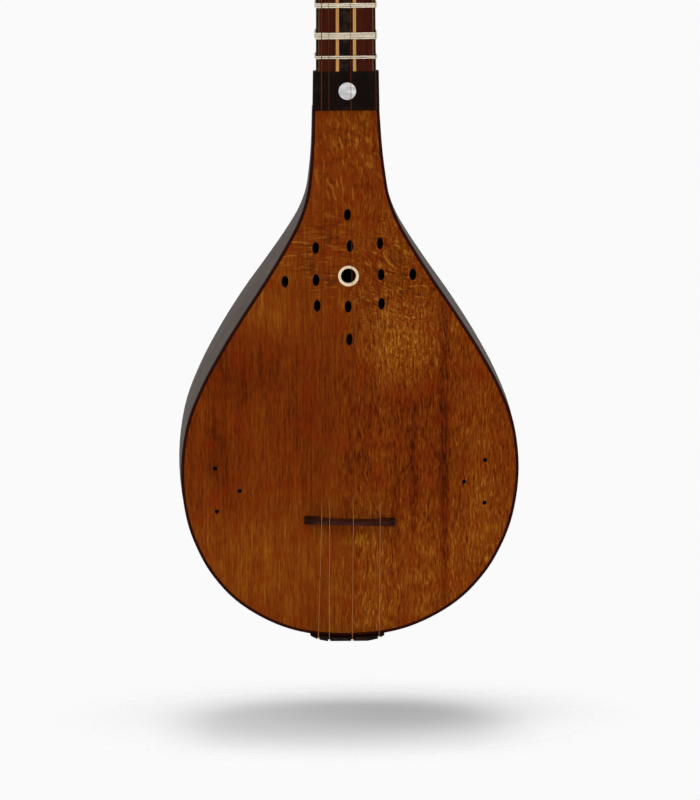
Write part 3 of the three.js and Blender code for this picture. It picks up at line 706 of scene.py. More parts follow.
@dataclass(frozen=True)
class SoundboardFinish:
    """Glossy figured wood: straight lines on the left, short wavy flecks on the right, rays by the ring."""

    tones: tuple[Colour, ...] = (
        srgb(54, 18, 4), srgb(82, 29, 4), srgb(104, 41, 6), srgb(119, 55, 9), srgb(137, 74, 14),
        srgb(170, 108, 32),
    )
    plain_tone: float = 0.43
    gold: Colour = srgb(190, 126, 44)
    red: Colour = srgb(120, 34, 5)
    straight_until: float = -16.0
    wavy_from: float = 14.0
    pale_foot: tuple[float, float] = (42.0, 90.0)
    pale_top: tuple[float, float] = (118.0, 168.0)
    pale_lift: float = 0.16
    cloud_lift: float = 0.26
    red_share: float = 0.42
    patches: tuple[Patch, ...] = (
        Patch(25, 138, 27, 27, 0.18), Patch(66, 86, 22, 66, 0.12), Patch(11, 34, 9, 46, 0.14),
        Patch(38, 34, 30, 28, 0.06), Patch(-28, 152, 24, 16, 0.08), Patch(-38, 40, 34, 26, 0.05),
        Patch(45.6, 70, 3.4, 92, -0.26), Patch(46, 150, 4, 34, -0.2), Patch(31.5, 78, 3.4, 44, -0.16),
        Patch(22.5, 60, 3, 42, -0.14), Patch(25, 106, 4, 24, -0.05), Patch(-48, 134, 30, 28, -0.13),
        Patch(8, 62, 6, 26, 0.08), Patch(-61, 84, 9, 34, -0.12), Patch(28, 112, 28, 5, -0.07),
        Patch(16, 100, 9, 26, 0.08), Patch(54, 60, 3.5, 40, -0.08),
    )
    red_throat: Patch = Patch(-4, 208, 34, 60, 0.26)
    left_rays: Patch = Patch(-25, 187, 15, 14)
    cross_rays: Patch = Patch(-10, 184, 20, 32)
    right_rays: Patch = Patch(22, 170, 30, 44)
    throat_rays: Patch = Patch(0, 226, 26, 36)
    gold_flecks: Patch = Patch(27, 143, 26, 26)

    def material(self, groups: SharedGroups) -> Material:
        """Build the material.

        Args:
            groups: The shared groups.

        Returns:
            The material.
        """
        maker = Maker("figured_soundboard", groups, Direction.UP)
        build = maker.build
        x, _, z = build.split(maker.place)
        right = build.span(x, self.straight_until, self.wavy_from)
        curl = build.noise(build.stretched(maker.place, 0.13, 0.13, 0.12), 1, 2, 17.0)
        shift = build.times(build.centred(curl), build.span(right, 0, 1, 0.7, 3.0))
        curled = build.shifted(maker.place, shift)

        tone = build.sum(self.plain_tone, build.span(z, *self.pale_foot, self.pale_lift, 0.0))
        tone = build.sum(tone, build.span(z, *self.pale_top, 0.0, self.pale_lift))
        fibres = (
            (curled, 0.95, 30.0, 1.0, 3.0, 0.26, 0.1),
            (curled, 0.8, 7.0, 2.0, 5.0, 0.24, 0.5),
            (maker.place, 3.2, 6.0, 4.0, 6.0, 0.12, 0.08),
            (maker.place, 8.0, 22.0, 10.0, 7.0, 0.12, 0.12),
        )
        relief = 0.0
        for place, pitch, stretch, waver, seed, on_left, on_right in fibres:
            sizes = {"pitch": pitch, "stretch": stretch, "waver": waver, "seed": seed}
            lines = build.centred(maker.group(GroupKind.GRAIN, place, **sizes))
            lines = build.times(lines, build.span(right, 0, 1, on_left, on_right))
            tone = build.sum(tone, lines)
            relief = build.sum(relief, lines)
        ticks = ((0.66, 3.0, 0.55, 9.0, -0.07, -0.22), (0.7, 2.8, 0.5, 10.0, 0.06, 0.19))
        for width, length, cover, seed, on_left, on_right in ticks:
            sizes = {"width": width, "length": length, "cover": cover, "seed": seed}
            marks = maker.group(GroupKind.FLECKS, curled, **sizes)
            tone = build.sum(tone, build.times(marks, build.span(right, 0, 1, on_left, on_right)))
        clouds = build.noise(build.stretched(maker.place, 0.03, 0.03, 0.05), 1, 3, 2.0)
        tone = build.sum(tone, build.times(build.centred(clouds), self.cloud_lift))
        for patch in self.patches:
            tone = build.sum(tone, patch.mask(build, x, z))
        colour = build.ramp(tone, self.tones)
        reds = build.span(build.noise(curled, 0.09, 2, 11.0), 0.45, 0.7, 0.0, self.red_share)
        reds = build.sum(reds, self.red_throat.mask(build, x, z))
        colour = build.blend(reds, colour, self.red)
        colour = self.add_rays(maker, colour, curled)
        roughness = maker.handled(26.0, 1.0, 0.3, 0.4)
        gloss = {"coat_weight": 0.3, "coat_roughness": 0.06, "specular_ior_level": 0.0}
        return maker.finish(colour, roughness, relief, 0.012, **gloss)

    def add_rays(self, maker: Maker, colour: Socket, curled: Socket) -> Socket:
        """Lay the ray flecks over the wood's colour.

        Args:
            maker: The material's maker.
            colour: The colour so far.
            curled: The coordinates that the wavy grain follows.

        Returns:
            The new colour's socket.
        """
        build = maker.build
        x, _, z = build.split(maker.place)
        bend = build.times(build.centred(build.noise(maker.place, 0.05, 1, 4.0)), 16)
        bent = build.shifted(maker.place, 0.0, bend)
        dark, light = self.tones[0], self.tones[5]
        rows = (
            (self.left_rays, maker.place, 90, 0.8, 6.0, 0.55, self.gold, 0.45, 21.0),
            (self.cross_rays, maker.place, 90, 0.9, 4.0, 0.6, dark, 0.42, 22.0),
            (self.cross_rays, maker.place, 90, 1.0, 4.0, 0.5, light, 0.36, 29.0),
            (self.cross_rays, maker.place, 0, 0.9, 8.0, 0.6, dark, 0.36, 28.0),
            (self.right_rays, bent, 64, 0.8, 2.6, 0.6, dark, 0.5, 23.0),
            (self.right_rays, bent, 64, 0.75, 2.2, 0.5, light, 0.6, 24.0),
            (self.throat_rays, bent, 84, 1.8, 6.0, 0.55, dark, 0.34, 25.0),
            (self.throat_rays, curled, 10, 1.1, 4.0, 0.5, light, 0.5, 26.0),
            (self.gold_flecks, bent, 12, 0.6, 1.3, 0.5, self.gold, 0.62, 27.0),
        )
        for patch, place, degrees, width, length, cover, tint, share, seed in rows:
            turn = (0, math.radians(degrees), 0)
            turned = build.take("ShaderNodeMapping", {"Vector": place, "Rotation": turn})
            sizes = {"width": width, "length": length, "cover": cover, "seed": seed}
            rays = maker.group(GroupKind.FLECKS, turned, **sizes)
            mask = build.times(rays, patch.mask(build, x, z))
            colour = build.blend(build.times(mask, share), colour, tint)
        return colour


@dataclass(frozen=True)
class WoodFinish:
    """Straight-grained wood in one piece."""

    name: str
    dark: Colour
    light: Colour
    direction: Direction = Direction.UP
    pitch: float = 0.9
    stretch: float = 30.0
    waver: float = 2.0
    pores: float = 0.25
    roughness: float = 0.4
    coat: float = 0.3
    coat_roughness: float = 0.1
    specular: float = 0.05
    wear: float = 0.0
    worn: Colour = srgb(96, 62, 40)
    seed: float = 1.0

    def material(self, groups: SharedGroups) -> Material:
        """Build the material.

        Args:
            groups: The shared groups.

        Returns:
            The material.
        """
        maker = Maker(self.name, groups, self.direction)
        build = maker.build
        fine = {"pitch": self.pitch, "stretch": self.stretch, "waver": self.waver, "seed": self.seed}
        broad = {"pitch": self.pitch * 9, "stretch": 12.0, "waver": self.waver * 4, "seed": self.seed + 1}
        lines = maker.group(GroupKind.GRAIN, **fine)
        bands = maker.group(GroupKind.GRAIN, **broad)
        tone = build.sum(build.times(lines, 0.55), build.times(bands, 0.45))
        colour = build.blend(tone, self.dark, self.light)
        pores = maker.group(GroupKind.FLECKS, width=0.35, length=5.0, cover=0.3, seed=self.seed + 2)
        colour = build.blend(build.times(pores, self.pores), colour, self.dark)
        if self.wear > 0:
            edges = maker.group(GroupKind.EDGE_WEAR, size=3.0, seed=self.seed)
            colour = build.blend(build.times(edges, self.wear), colour, self.worn)
        roughness = maker.handled(22.0, self.seed, self.roughness - 0.06, self.roughness + 0.08)
        relief = build.sum(build.times(lines, 0.5), build.times(pores, -0.7))
        gloss = {"coat_weight": self.coat, "coat_roughness": self.coat_roughness}
        return maker.finish(colour, roughness, relief, 0.01, **gloss, specular_ior_level=self.specular)


@dataclass(frozen=True)
class BridgeFinish:
    """Purple-brown wood, with painted shade that darkens its ends nearly to black."""

    middle_dark: Colour = srgb(40, 17, 12)
    middle_light: Colour = srgb(68, 31, 22)
    # The ends' colour is painted shade.
    end: Colour = srgb(34, 13, 5)
    left_shaded_end: tuple[float, float] = (-18.5, -12.5)
    right_shaded_end: tuple[float, float] = (17.5, 21.5)

    def material(self, groups: SharedGroups) -> Material:
        """Build the material.

        Args:
            groups: The shared groups.

        Returns:
            The material.
        """
        maker = Maker("bridge_rosewood", groups, Direction.ACROSS)
        build = maker.build
        coordinates = build.add("ShaderNodeTexCoord").outputs["Object"]
        x = build.times(build.split(coordinates)[0], PER_MM)
        lines = maker.group(GroupKind.GRAIN, pitch=0.6, stretch=24.0, waver=1.0, seed=31.0)
        colour = build.blend(lines, self.middle_dark, self.middle_light)
        # Painted shade: the colour darkens to nearly black towards each end.
        left = build.span(x, *self.left_shaded_end, 1.0, 0.0)
        right = build.span(x, *self.right_shaded_end)
        colour = build.blend(build.math("MAXIMUM", left, right), colour, self.end)
        roughness = maker.handled(12.0, 3.0, 0.32, 0.46)
        gloss = {"coat_weight": 0.2, "coat_roughness": 0.12, "specular_ior_level": 0.1}
        return maker.finish(colour, roughness, lines, 0.012, **gloss)


@dataclass(frozen=True)
class BoneFinish:
    """Cream bone or camel bone with faint growth lines."""

    dark: Colour = srgb(216, 186, 142)
    light: Colour = srgb(248, 232, 200)

    def material(self, groups: SharedGroups) -> Material:
        """Build the material.

        Args:
            groups: The shared groups.

        Returns:
            The material.
        """
        maker = Maker("cream_bone", groups, Direction.ACROSS)
        build = maker.build
        lines = maker.group(GroupKind.GRAIN, pitch=0.35, stretch=9.0, waver=1.0, seed=41.0)
        clouds = build.noise(maker.place, 0.35, 3, 42.0)
        tone = build.sum(build.times(lines, 0.4), build.times(clouds, 0.7))
        colour = build.blend(build.span(tone, 0.2, 0.8), self.dark, self.light)
        glow = {"subsurface_weight": 0.08, "subsurface_radius": (0.0012, 0.0008, 0.0005)}
        roughness = maker.handled(5.0, 4.0, 0.26, 0.4)
        return maker.finish(colour, roughness, lines, 0.008, **glow, coat_weight=0.2)


@dataclass(frozen=True)
class PearlFinish:
    """White mother of pearl with faint grey and tinted bands."""

    white: Colour = srgb(236, 235, 232)
    grey: Colour = srgb(186, 188, 190)
    rose: Colour = srgb(232, 214, 220)
    green: Colour = srgb(206, 224, 214)

    def material(self, groups: SharedGroups) -> Material:
        """Build the material.

        Args:
            groups: The shared groups.

        Returns:
            The material.
        """
        maker = Maker("white_pearl", groups, Direction.ACROSS)
        build = maker.build
        bent = build.stretched(maker.place, 0.5, 0.5, 0.16)
        bands = build.noise(bent, 1.4, 3, 51.0, 0.65)
        colour = build.blend(build.span(bands, 0.35, 0.66), self.grey, self.white)
        tint = build.noise(maker.place, 0.5, 2, 52.0)
        colour = build.blend(build.span(tint, 0.52, 0.7, 0.0, 0.5), colour, self.rose)
        colour = build.blend(build.span(tint, 0.46, 0.32, 0.0, 0.45), colour, self.green)
        roughness = build.span(bands, 0.3, 0.7, 0.16, 0.3)
        return maker.finish(colour, roughness, bands, 0.02, coat_weight=0.6, coat_roughness=0.08)


@dataclass(frozen=True)
class GutFinish:
    """Cream tied gut with fibres that twist round it."""

    dark: Colour = srgb(216, 200, 172)
    light: Colour = srgb(250, 242, 222)
    twist: float = 0.9

    def material(self, groups: SharedGroups) -> Material:
        """Build the material.

        Args:
            groups: The shared groups.

        Returns:
            The material.
        """
        maker = Maker("cream_gut", groups, Direction.ACROSS)
        build = maker.build
        fibres = maker.group(GroupKind.FLECKS, width=0.12, length=0.9, cover=0.5, seed=61.0)
        clouds = build.noise(maker.place, 0.9, 3, 62.0)
        tone = build.sum(build.times(fibres, 0.35), build.times(clouds, 0.8))
        colour = build.blend(build.span(tone, 0.2, 0.85), self.dark, self.light)
        twist = build.math("SINE", build.times(build.along(), 2 * math.pi * PER_MM / self.twist))
        relief = build.sum(build.times(twist, 0.5), fibres)
        glow = {"subsurface_weight": 0.12, "subsurface_radius": (0.0008, 0.0006, 0.0004)}
        return maker.finish(colour, build.span(clouds, 0.3, 0.7, 0.4, 0.55), relief, 0.015, **glow)


@dataclass(frozen=True)
class WireFinish:
    """Drawn or wound metal wire, darker above the bridge with played tarnish and painted shade."""

    name: str
    colour: Colour
    tarnish_and_shade: Colour
    winding: float = 0.0
    tarnish_and_shade_span: tuple[float, float] = (58.0, 74.0)
    tarnish_and_shade_share: float = 0.95

    def material(self, groups: SharedGroups) -> Material:
        """Build the material.

        Args:
            groups: The shared groups.

        Returns:
            The material.
        """
        maker = Maker(self.name, groups, Direction.UP)
        build = maker.build
        spots = maker.group(GroupKind.FLECKS, width=0.3, length=6.0, cover=0.4, seed=71.0)
        z = build.split(maker.place)[2]
        # Played tarnish and painted shade darken the wire above the bridge; below the bridge it stays pale.
        tarnish_and_shade_mask = build.span(z, *self.tarnish_and_shade_span, 0.0, self.tarnish_and_shade_share)
        tarnish_and_shade_mask = build.math("MAXIMUM", tarnish_and_shade_mask, build.times(spots, 0.6))
        colour = build.blend(tarnish_and_shade_mask, self.colour, self.tarnish_and_shade)
        height = None
        if self.winding > 0:
            wave = build.math("SINE", build.times(build.along(), math.pi * PER_MM / self.winding))
            height = build.math("ABSOLUTE", wave)
            colour = build.blend(build.span(height, 0.0, 0.5, 0.7, 0.0), colour, self.tarnish_and_shade)
        roughness = maker.handled(30.0, 7.0, 0.22, 0.36)
        return maker.finish(colour, roughness, height, 0.05, metallic=0.1, specular_ior_level=0.0)


class Materials:
    """All the finishes of the instrument."""

    def __init__(self) -> None:
        """Build every material once."""
        groups = SharedGroups()

        def wood(
            name: str, dark: tuple[int, int, int], light: tuple[int, int, int], **details: object
        ) -> Material:
            """Build a plain wood from its dark and light colours."""
            return WoodFinish(name, srgb(*dark), srgb(*light), **details).material(groups)

        self.soundboard = SoundboardFinish().material(groups)
        tones = (((38, 25, 19), (66, 45, 34)), ((33, 21, 16), (58, 38, 28)), ((42, 28, 21), (72, 49, 36)))
        rib = {"pitch": 1.3, "stretch": 36.0, "coat": 0.5, "coat_roughness": 0.14}
        self.bowl = [
            wood(f"bowl_rib_{place}", dark, light, direction=Direction.FIBRE, seed=80.0 + place * 5, **rib)
            for place, (dark, light) in enumerate(tones)
        ]
        self.ebony = wood(
            "black_ebony", (15, 9, 7), (30, 18, 14), pitch=0.5, wear=0.4, worn=srgb(66, 48, 38), seed=100.0
        )
        self.binding = wood("dark_binding_wood", (38, 8, 3), (52, 14, 6), pitch=0.5, coat=0.1, seed=105.0)
        self.neck = wood("dark_neck_wood", (30, 15, 10), (58, 31, 20), coat=0.5, wear=0.3, seed=110.0)
        self.fingerboard = wood(
            "red_fingerboard_wood", (46, 13, 5), (76, 26, 9), pitch=0.8, coat=0.2, seed=120.0
        )
        self.purfling = wood("brown_purfling", (84, 58, 36), (120, 86, 56), pitch=0.4, seed=125.0)
        self.inlay = wood(
            "yellow_inlay_wood", (178, 122, 60), (208, 154, 90), pitch=0.35, pores=0.5, coat=0.1, seed=130.0
        )
        self.inner = wood("raw_inner_wood", (150, 112, 70), (190, 150, 100), coat=0.0, roughness=0.7)
        turned = {"pitch": 0.8, "stretch": 14.0, "coat": 0.5, "wear": 0.5, "seed": 140.0}
        self.peg = {
            side: wood(f"{side.value}_peg_wood", (40, 20, 12), (84, 46, 26), direction=direction, **turned)
            for side, direction in ((PegSide.LEFT, Direction.ACROSS), (PegSide.FRONT, Direction.DEEP))
        }
        self.bridge = BridgeFinish().material(groups)
        self.bone = BoneFinish().material(groups)
        self.pearl = PearlFinish().material(groups)
        self.gut = GutFinish().material(groups)
        self.wires = {
            slot: WireFinish(name, srgb(*colour), srgb(*tarnish_and_shade), winding).material(groups)
            for slot, name, colour, tarnish_and_shade, winding in (
                ("bronze_wire", "wound_bronze", (164, 106, 60), (108, 46, 12), 0.11),
                ("brass_wire", "drawn_brass", (168, 112, 64), (104, 44, 12), 0.0),
                ("steel_wire", "drawn_steel", (168, 124, 88), (102, 44, 14), 0.0),
            )
        }


class TubeTree:
    """Geometry Nodes that lay round turns along a path."""

    SIZES = (
        ("Radius", "NodeSocketFloat"),
        ("Sides", "NodeSocketInt"),
        ("Turns", "NodeSocketInt"),
        ("Pitch", "NodeSocketFloat"),
        ("Wobble", "NodeSocketFloat"),
        ("Seed", "NodeSocketFloat"),
        ("Material", "NodeSocketMaterial"),
    )

    def __init__(self) -> None:
        """Build the tree."""
        self.tree = bpy.data.node_groups.new("laid_turns", "GeometryNodeTree")
        face = self.tree.interface
        face.new_socket("Path", in_out="INPUT", socket_type="NodeSocketGeometry")
        self.sockets = {
            name: face.new_socket(name, in_out="INPUT", socket_type=kind).identifier
            for name, kind in self.SIZES
        }
        face.new_socket("Laid", in_out="OUTPUT", socket_type="NodeSocketGeometry")
        build = TreeBuilder(self.tree)
        given = build.add("NodeGroupInput").outputs
        path = build.take("GeometryNodeMeshToCurve", {"Mesh": given["Path"]})
        copying = {"Geometry": path, "Amount": given["Turns"]}
        copies = build.add("GeometryNodeDuplicateElements", copying, domain="SPLINE")
        middle = build.times(build.less(given["Turns"], 1.0), 0.5)
        step = build.less(copies.outputs["Duplicate Index"], middle)
        place = build.take("GeometryNodeInputPosition")
        seed = build.sum(given["Seed"], build.times(copies.outputs["Duplicate Index"], 0.4))
        sway = build.centred(build.noise(place, 160.0, 1, seed))
        lift = build.sum(build.times(step, given["Pitch"]), build.times(sway, given["Wobble"]))
        offset = build.take("ShaderNodeCombineXYZ", {2: lift})
        moved = build.take("GeometryNodeSetPosition", {"Geometry": copies.outputs[0], "Offset": offset})
        length = build.add("GeometryNodeSplineParameter").outputs["Length"]
        marking = {"Geometry": moved, "Name": "along", "Value": length}
        marked = build.take("GeometryNodeStoreNamedAttribute", marking, data_type="FLOAT", domain="POINT")
        rounding = {"Resolution": given["Sides"], "Radius": given["Radius"]}
        ring = build.take("GeometryNodeCurvePrimitiveCircle", rounding, mode="RADIUS")
        sweep = {"Curve": marked, "Profile Curve": ring, "Fill Caps": True}
        whole = build.take(
            "GeometryNodeRealizeInstances", {"Geometry": build.take("GeometryNodeCurveToMesh", sweep)}
        )
        dressing = {"Geometry": whole, "Material": given["Material"]}
        build.add("NodeGroupOutput", {0: build.take("GeometryNodeSetMaterial", dressing)})

    def lay(self, name: str, paths: list[list[Vector]], closed: bool, **sizes: object) -> Piece:
        """Lay turns along paths and return them as a plain mesh.

        Args:
            name: The piece's name.
            paths: The points of each path.
            closed: Whether each path joins up.
            sizes: The tree's inputs, with their first letters small.

        Returns:
            The new object.
        """
        edges = []
        first = 0
        for path in paths:
            edges += [(first + i, first + i + 1) for i in range(len(path) - 1)]
            if closed:
                edges.append((first + len(path) - 1, first))
            first += len(path)
        piece = new_piece(name, [point for path in paths for point in path], [], edges)
        modifier = piece.modifiers.new("laid_turns", "NODES")
        modifier.node_group = self.tree
        values = {"sides": 10, "turns": 1, "pitch": 0.0, "wobble": 0.0, "seed": 0.0} | sizes
        for key, value in values.items():
            modifier[self.sockets[key.capitalize()]] = value
        settle_modifiers(piece)
        turn_outwards(piece)
        shade(piece, TUBE_DEGREES)
        return piece


# The instrument

STATIONS = (
    (0, 0, 0.0), (0.016, 0.357, 0.38), (0.062, 0.634, 0.66), (0.107, 0.779, 0.8), (0.153, 0.875, 0.88),
    (0.222, 0.962, 0.95), (0.313, 1, 0.99), (0.404, 0.968, 1.0), (0.472, 0.888, 0.99),
    (0.541, 0.773, 0.96), (0.609, 0.641, 0.89), (0.678, 0.4985, 0.74), (0.746, 0.368, 0.56),
    (0.792, 0.2925, 0.44), (0.8375, 0.2444, 0.34), (0.883, 0.223, 0.27), (0.929, 0.209, 0.225),
    (1, 0.198, 0.2),
)


@dataclass(frozen=True)
class BodyShape:
    """The bowl's outer face, in millimetres, from its tail at 0 to its neck at 1."""

    foot: float = 1.9
    length: float = 249.0
    half: float = 79.0
    depth: float = 140.0
    plate: float = 3.0
    drift: float = 1.75
    power: float = 3.5
    probe: float = 0.003
    crowding: float = 1.15
    halvings: int = 40

    @property
    def top(self) -> float:
        """Give the height of the board's top edge."""
        return self.foot + self.length

    @lru_cache(maxsize=None)
    def controls(self) -> tuple[Vector, ...]:
        """Give the points that the bowl's curve passes through, mirrored below the tail.

        Returns:
            Half widths, depths and heights.
        """
        real = [Vector((w * self.half, d * self.depth, up * self.length)) for up, w, d in STATIONS]
        mirrored = [Vector((-p.x, -p.y, p.z)) for p in reversed(real[1:])]
        return tuple(mirrored + real)

    @lru_cache(maxsize=None)
    def station(self, along: float) -> Vector:
        """Give the half width, depth and height at a share of the way from the tail to the neck.

        Args:
            along: The share.

        Returns:
            The half width, depth and height above the board's foot.
        """
        points = self.controls()
        place = (len(points) - 1) * (1 + along) / 2
        i = min(int(place), len(points) - 2)
        share = place - i
        here, there = points[i], points[i + 1]
        before = points[i - 1] if i > 0 else here * 2 - there
        after = points[i + 2] if i + 2 < len(points) else there * 2 - here
        middle = (there - here).length ** 0.5
        first = (here - before).length ** 0.5
        last = (after - there).length ** 0.5
        leaving = (here - before) / first - (there - before) / (first + middle) + (there - here) / middle
        arriving = (there - here) / middle - (after - here) / (middle + last) + (after - there) / last
        leaving = leaving * middle
        arriving = arriving * middle
        square = (there - here) * 3 - leaving * 2 - arriving
        cube = (here - there) * 2 + leaving + arriving
        return here + leaving * share + square * share**2 + cube * share**3

    def point(self, along: float, angle: float) -> Vector:
        """Give a point of the outer face.

        Args:
            along: The share of the way from tail to neck.
            angle: From 0 at the right rim to half a turn at the left.

        Returns:
            The point.
        """
        station = self.station(along)
        across, inwards = squared(angle, self.power)
        sway = self.drift * math.sin(math.pi * station.z / self.length)
        place = (sway + station.x * across, self.plate + station.y * inwards, self.foot + station.z)
        return Vector(place)

    def normal(self, along: float, angle: float) -> Vector:
        """Give the outward direction at a point of the outer face.

        Args:
            along: The share of the way from tail to neck.
            angle: From 0 at the right rim to half a turn at the left.

        Returns:
            The direction, of length 1.
        """
        low = self.point(max(0.0, along - self.probe), angle)
        high = self.point(min(1.0, along + self.probe), angle)
        right = self.point(along, max(0.0, angle - self.probe))
        left = self.point(along, min(math.pi, angle + self.probe))
        return (left - right).cross(high - low).normalized()

    def inset(self, along: float, angle: float, depth: float) -> Vector:
        """Give a point below the outer face, kept behind the rim.

        Args:
            along: The share of the way from tail to neck.
            angle: From 0 at the right rim to half a turn at the left.
            depth: How far below the face it is.

        Returns:
            The point.
        """
        point = self.point(along, angle) - self.normal(along, angle) * depth
        on_rim = angle in (0.0, math.pi)
        point.y = self.plate if on_rim else max(point.y, self.plate)
        return point

    def outline(self, steps: int, inset: float) -> list[Vector]:
        """Give the board's outline, from its right top corner round the tail to its left one.

        Args:
            steps: How many steps each side has.
            inset: How far inside the outer face it is.

        Returns:
            Points across and up.
        """
        sides = []
        for angle in (0.0, math.pi):
            side = []
            for i in range(steps + 1):
                along = (i / steps) ** self.crowding
                point = self.point(along, angle)
                outward = Vector((0, 0, -1)) if i == 0 else self.normal(along, angle)
                side.append(Vector((point.x - outward.x * inset, point.z - outward.z * inset)))
            side[-1].y = self.top
            sides.append(side)
        right, left = sides
        return right[::-1] + left[1:]

    def half_at(self, height: float) -> float:
        """Give half the board's width at a height, by halving the stretch that reaches it.

        Args:
            height: The height.

        Returns:
            Half the width.
        """
        low, high = 0.0, 1.0
        for _ in range(self.halvings):
            middle = (low + high) / 2
            if self.foot + self.station(middle).z < height:
                low = middle
            else:
                high = middle
        return self.station(low).x


@dataclass(frozen=True)
class NeckShape:
    """The neck's and head's outer faces, in millimetres."""

    body: BodyShape
    collar_length: float = 18.7
    width_at_body: float = 27.7
    width_at_nut: float = 24.6
    depth_at_body: float = 22.4
    depth_at_nut: float = 17.6
    power: float = 2.4
    heel_length: float = 21.0
    body_joint: float = 0.3
    board_rise: float = 1.6
    head_length: float = 115.0
    head_width: float = 27.0
    head_depth: float = 20.0
    nut_height: float = 715.599
    nut_thickness: float = 3.0

    @property
    def collar_top(self) -> float:
        """Give the height of the collar's top edge."""
        return self.body.top + self.collar_length

    @property
    def heel_top(self) -> float:
        """Give the height where the heel has become the neck."""
        return self.body.top + self.body_joint + self.heel_length

    @property
    def head_foot(self) -> float:
        """Give the height where the head starts."""
        return self.nut_height + self.nut_thickness

    @property
    def head_top(self) -> float:
        """Give the height of the head's end."""
        return self.nut_height + self.head_length

    def section(self, height: float) -> tuple[float, float]:
        """Give the half width and depth at a height.

        Args:
            height: The height.

        Returns:
            The half width, and the depth behind the fingerboard's seat.
        """
        on_neck = clamp((height - self.heel_top) / (self.nut_height - self.heel_top))
        on_head = clamp((height - self.head_foot) / (self.head_top - self.head_foot))
        half = mix(self.width_at_body, self.width_at_nut, on_neck) / 2
        depth = mix(self.depth_at_body, self.depth_at_nut, on_neck)
        flare = clamp((self.heel_top - height) / self.heel_length) ** 2
        heel = self.body.station(1.0)
        wide = half + (heel.x - half) * flare + (self.head_width / 2 - half) * on_head
        deep = depth + (heel.y - depth) * flare + (self.head_depth - depth) * on_head
        return wide, deep

    def back(self, half: float, depth: float, facets: int) -> list[Vector]:
        """Give the rounded back of a section, from its right front corner to its left one."""
        shares = [squared(math.pi * i / facets, self.power) for i in range(facets + 1)]
        return [Vector((half * x, self.body.plate + depth * y)) for x, y in shares]


@dataclass
class Bowl:
    """The eleven ribs of the bowl, the cap over their ends, and the blocks inside."""

    shape: BodyShape
    materials: Materials
    rib_count: int = 11
    thickness: float = 2.6
    first: float = 0.035
    steps: int = 76
    crowding: float = 1.1
    facets: int = 9
    seam_width: float = 0.3
    seam_depth: float = 0.16
    half_joint: float = 0.004
    plank_step: float = 53.0
    plank_stretch: float = 1.25
    cap_start: float = 0.006
    cap_end: float = 0.088
    cap_steps: int = 18
    cap_facets: int = 44
    cap_ease_steps: float = 2.5
    cap_ease_facets: float = 3.0
    cap_rise: float = 0.9
    cap_float: float = 0.02
    cap_seat: float = 0.6
    cap_rim: float = 0.16

    def build(self) -> None:
        """Build the ribs, cap and blocks."""
        for index in range(self.rib_count):
            self.build_rib(index)
        self.build_cap()
        dress_node("neck_block", self.materials.inner)
        dress_node("tail_block", self.materials.inner)

    def ring(self, index: int, along: float) -> tuple[list[Vector], list[Vector]]:
        """Give one rib's section and the places of its points in its wood.

        Args:
            index: Which rib it is.
            along: The share of the way from tail to neck.

        Returns:
            The section's points, and how far across and along the rib each one lies.
        """
        start = math.pi * index / self.rib_count
        end = math.pi * (index + 1) / self.rib_count
        reach = (self.shape.point(along, end) - self.shape.point(along, start)).length
        outer = [(mix(start, end, k / self.facets), 0.0) for k in range(self.facets + 1)]
        groove = self.seam_width / reach * (end - start)
        joint = self.half_joint / reach * (end - start)
        if index > 0:
            outer[0] = (start + joint, self.seam_depth)
            outer.insert(1, (start + groove, 0.0))
        if index < self.rib_count - 1:
            outer[-1] = (end - joint, self.seam_depth)
            outer.insert(-1, (end - groove, 0.0))
        middle = (start + end) / 2
        outer += [(angle, self.thickness) for angle in (outer[-1][0], middle, outer[0][0])]
        points = [self.shape.inset(along, angle, depth) * MM for angle, depth in outer]
        marks = []
        for angle, depth in outer:
            across = (angle - start) / (end - start) * reach + index * self.plank_step
            marks.append(Vector((across, depth, along * self.shape.length * self.plank_stretch)))
        return points, marks

    def build_rib(self, index: int) -> None:
        """Build one rib with a fine groove along each joint.

        Args:
            index: Which rib it is.
        """
        rings = []
        marks = []
        for step in range(self.steps + 1):
            along = mix(self.first, 1.0, (step / self.steps) ** self.crowding)
            points, places = self.ring(index, along)
            rings.append(points)
            marks.append(places)
        node = f"rib_{index + 1:02d}"
        piece = lofted(f"{node}_stave", rings, marks=marks)
        tones = self.materials.bowl
        hand_over(piece, tones[(index * 2) % len(tones)], "bowl_wood", node)

    def build_cap(self) -> None:
        """Build the smooth cap over the ribs' ends at the tail."""
        rings = []
        for step in range(self.cap_steps + 1):
            along = mix(self.cap_start, self.cap_end, step / self.cap_steps)
            edge = clamp((self.cap_steps - step) / self.cap_ease_steps)
            rise = self.cap_rise * math.sin(edge * math.pi / 2)
            outer = []
            inner = []
            for k in range(self.cap_facets + 1):
                share = k / self.cap_facets
                angle = math.pi * mix(self.cap_rim, 1 - self.cap_rim, share)
                side = clamp(min(share, 1 - share) * self.cap_facets / self.cap_ease_facets)
                lift = self.cap_float + rise * math.sin(side * math.pi / 2)
                outer.append(self.shape.inset(along, angle, -lift) * MM)
                inner.insert(0, self.shape.inset(along, angle, self.cap_seat) * MM)
            rings.append(outer + inner)
        hand_over(lofted("rib_end_cap", rings), self.materials.ebony, "ebony")


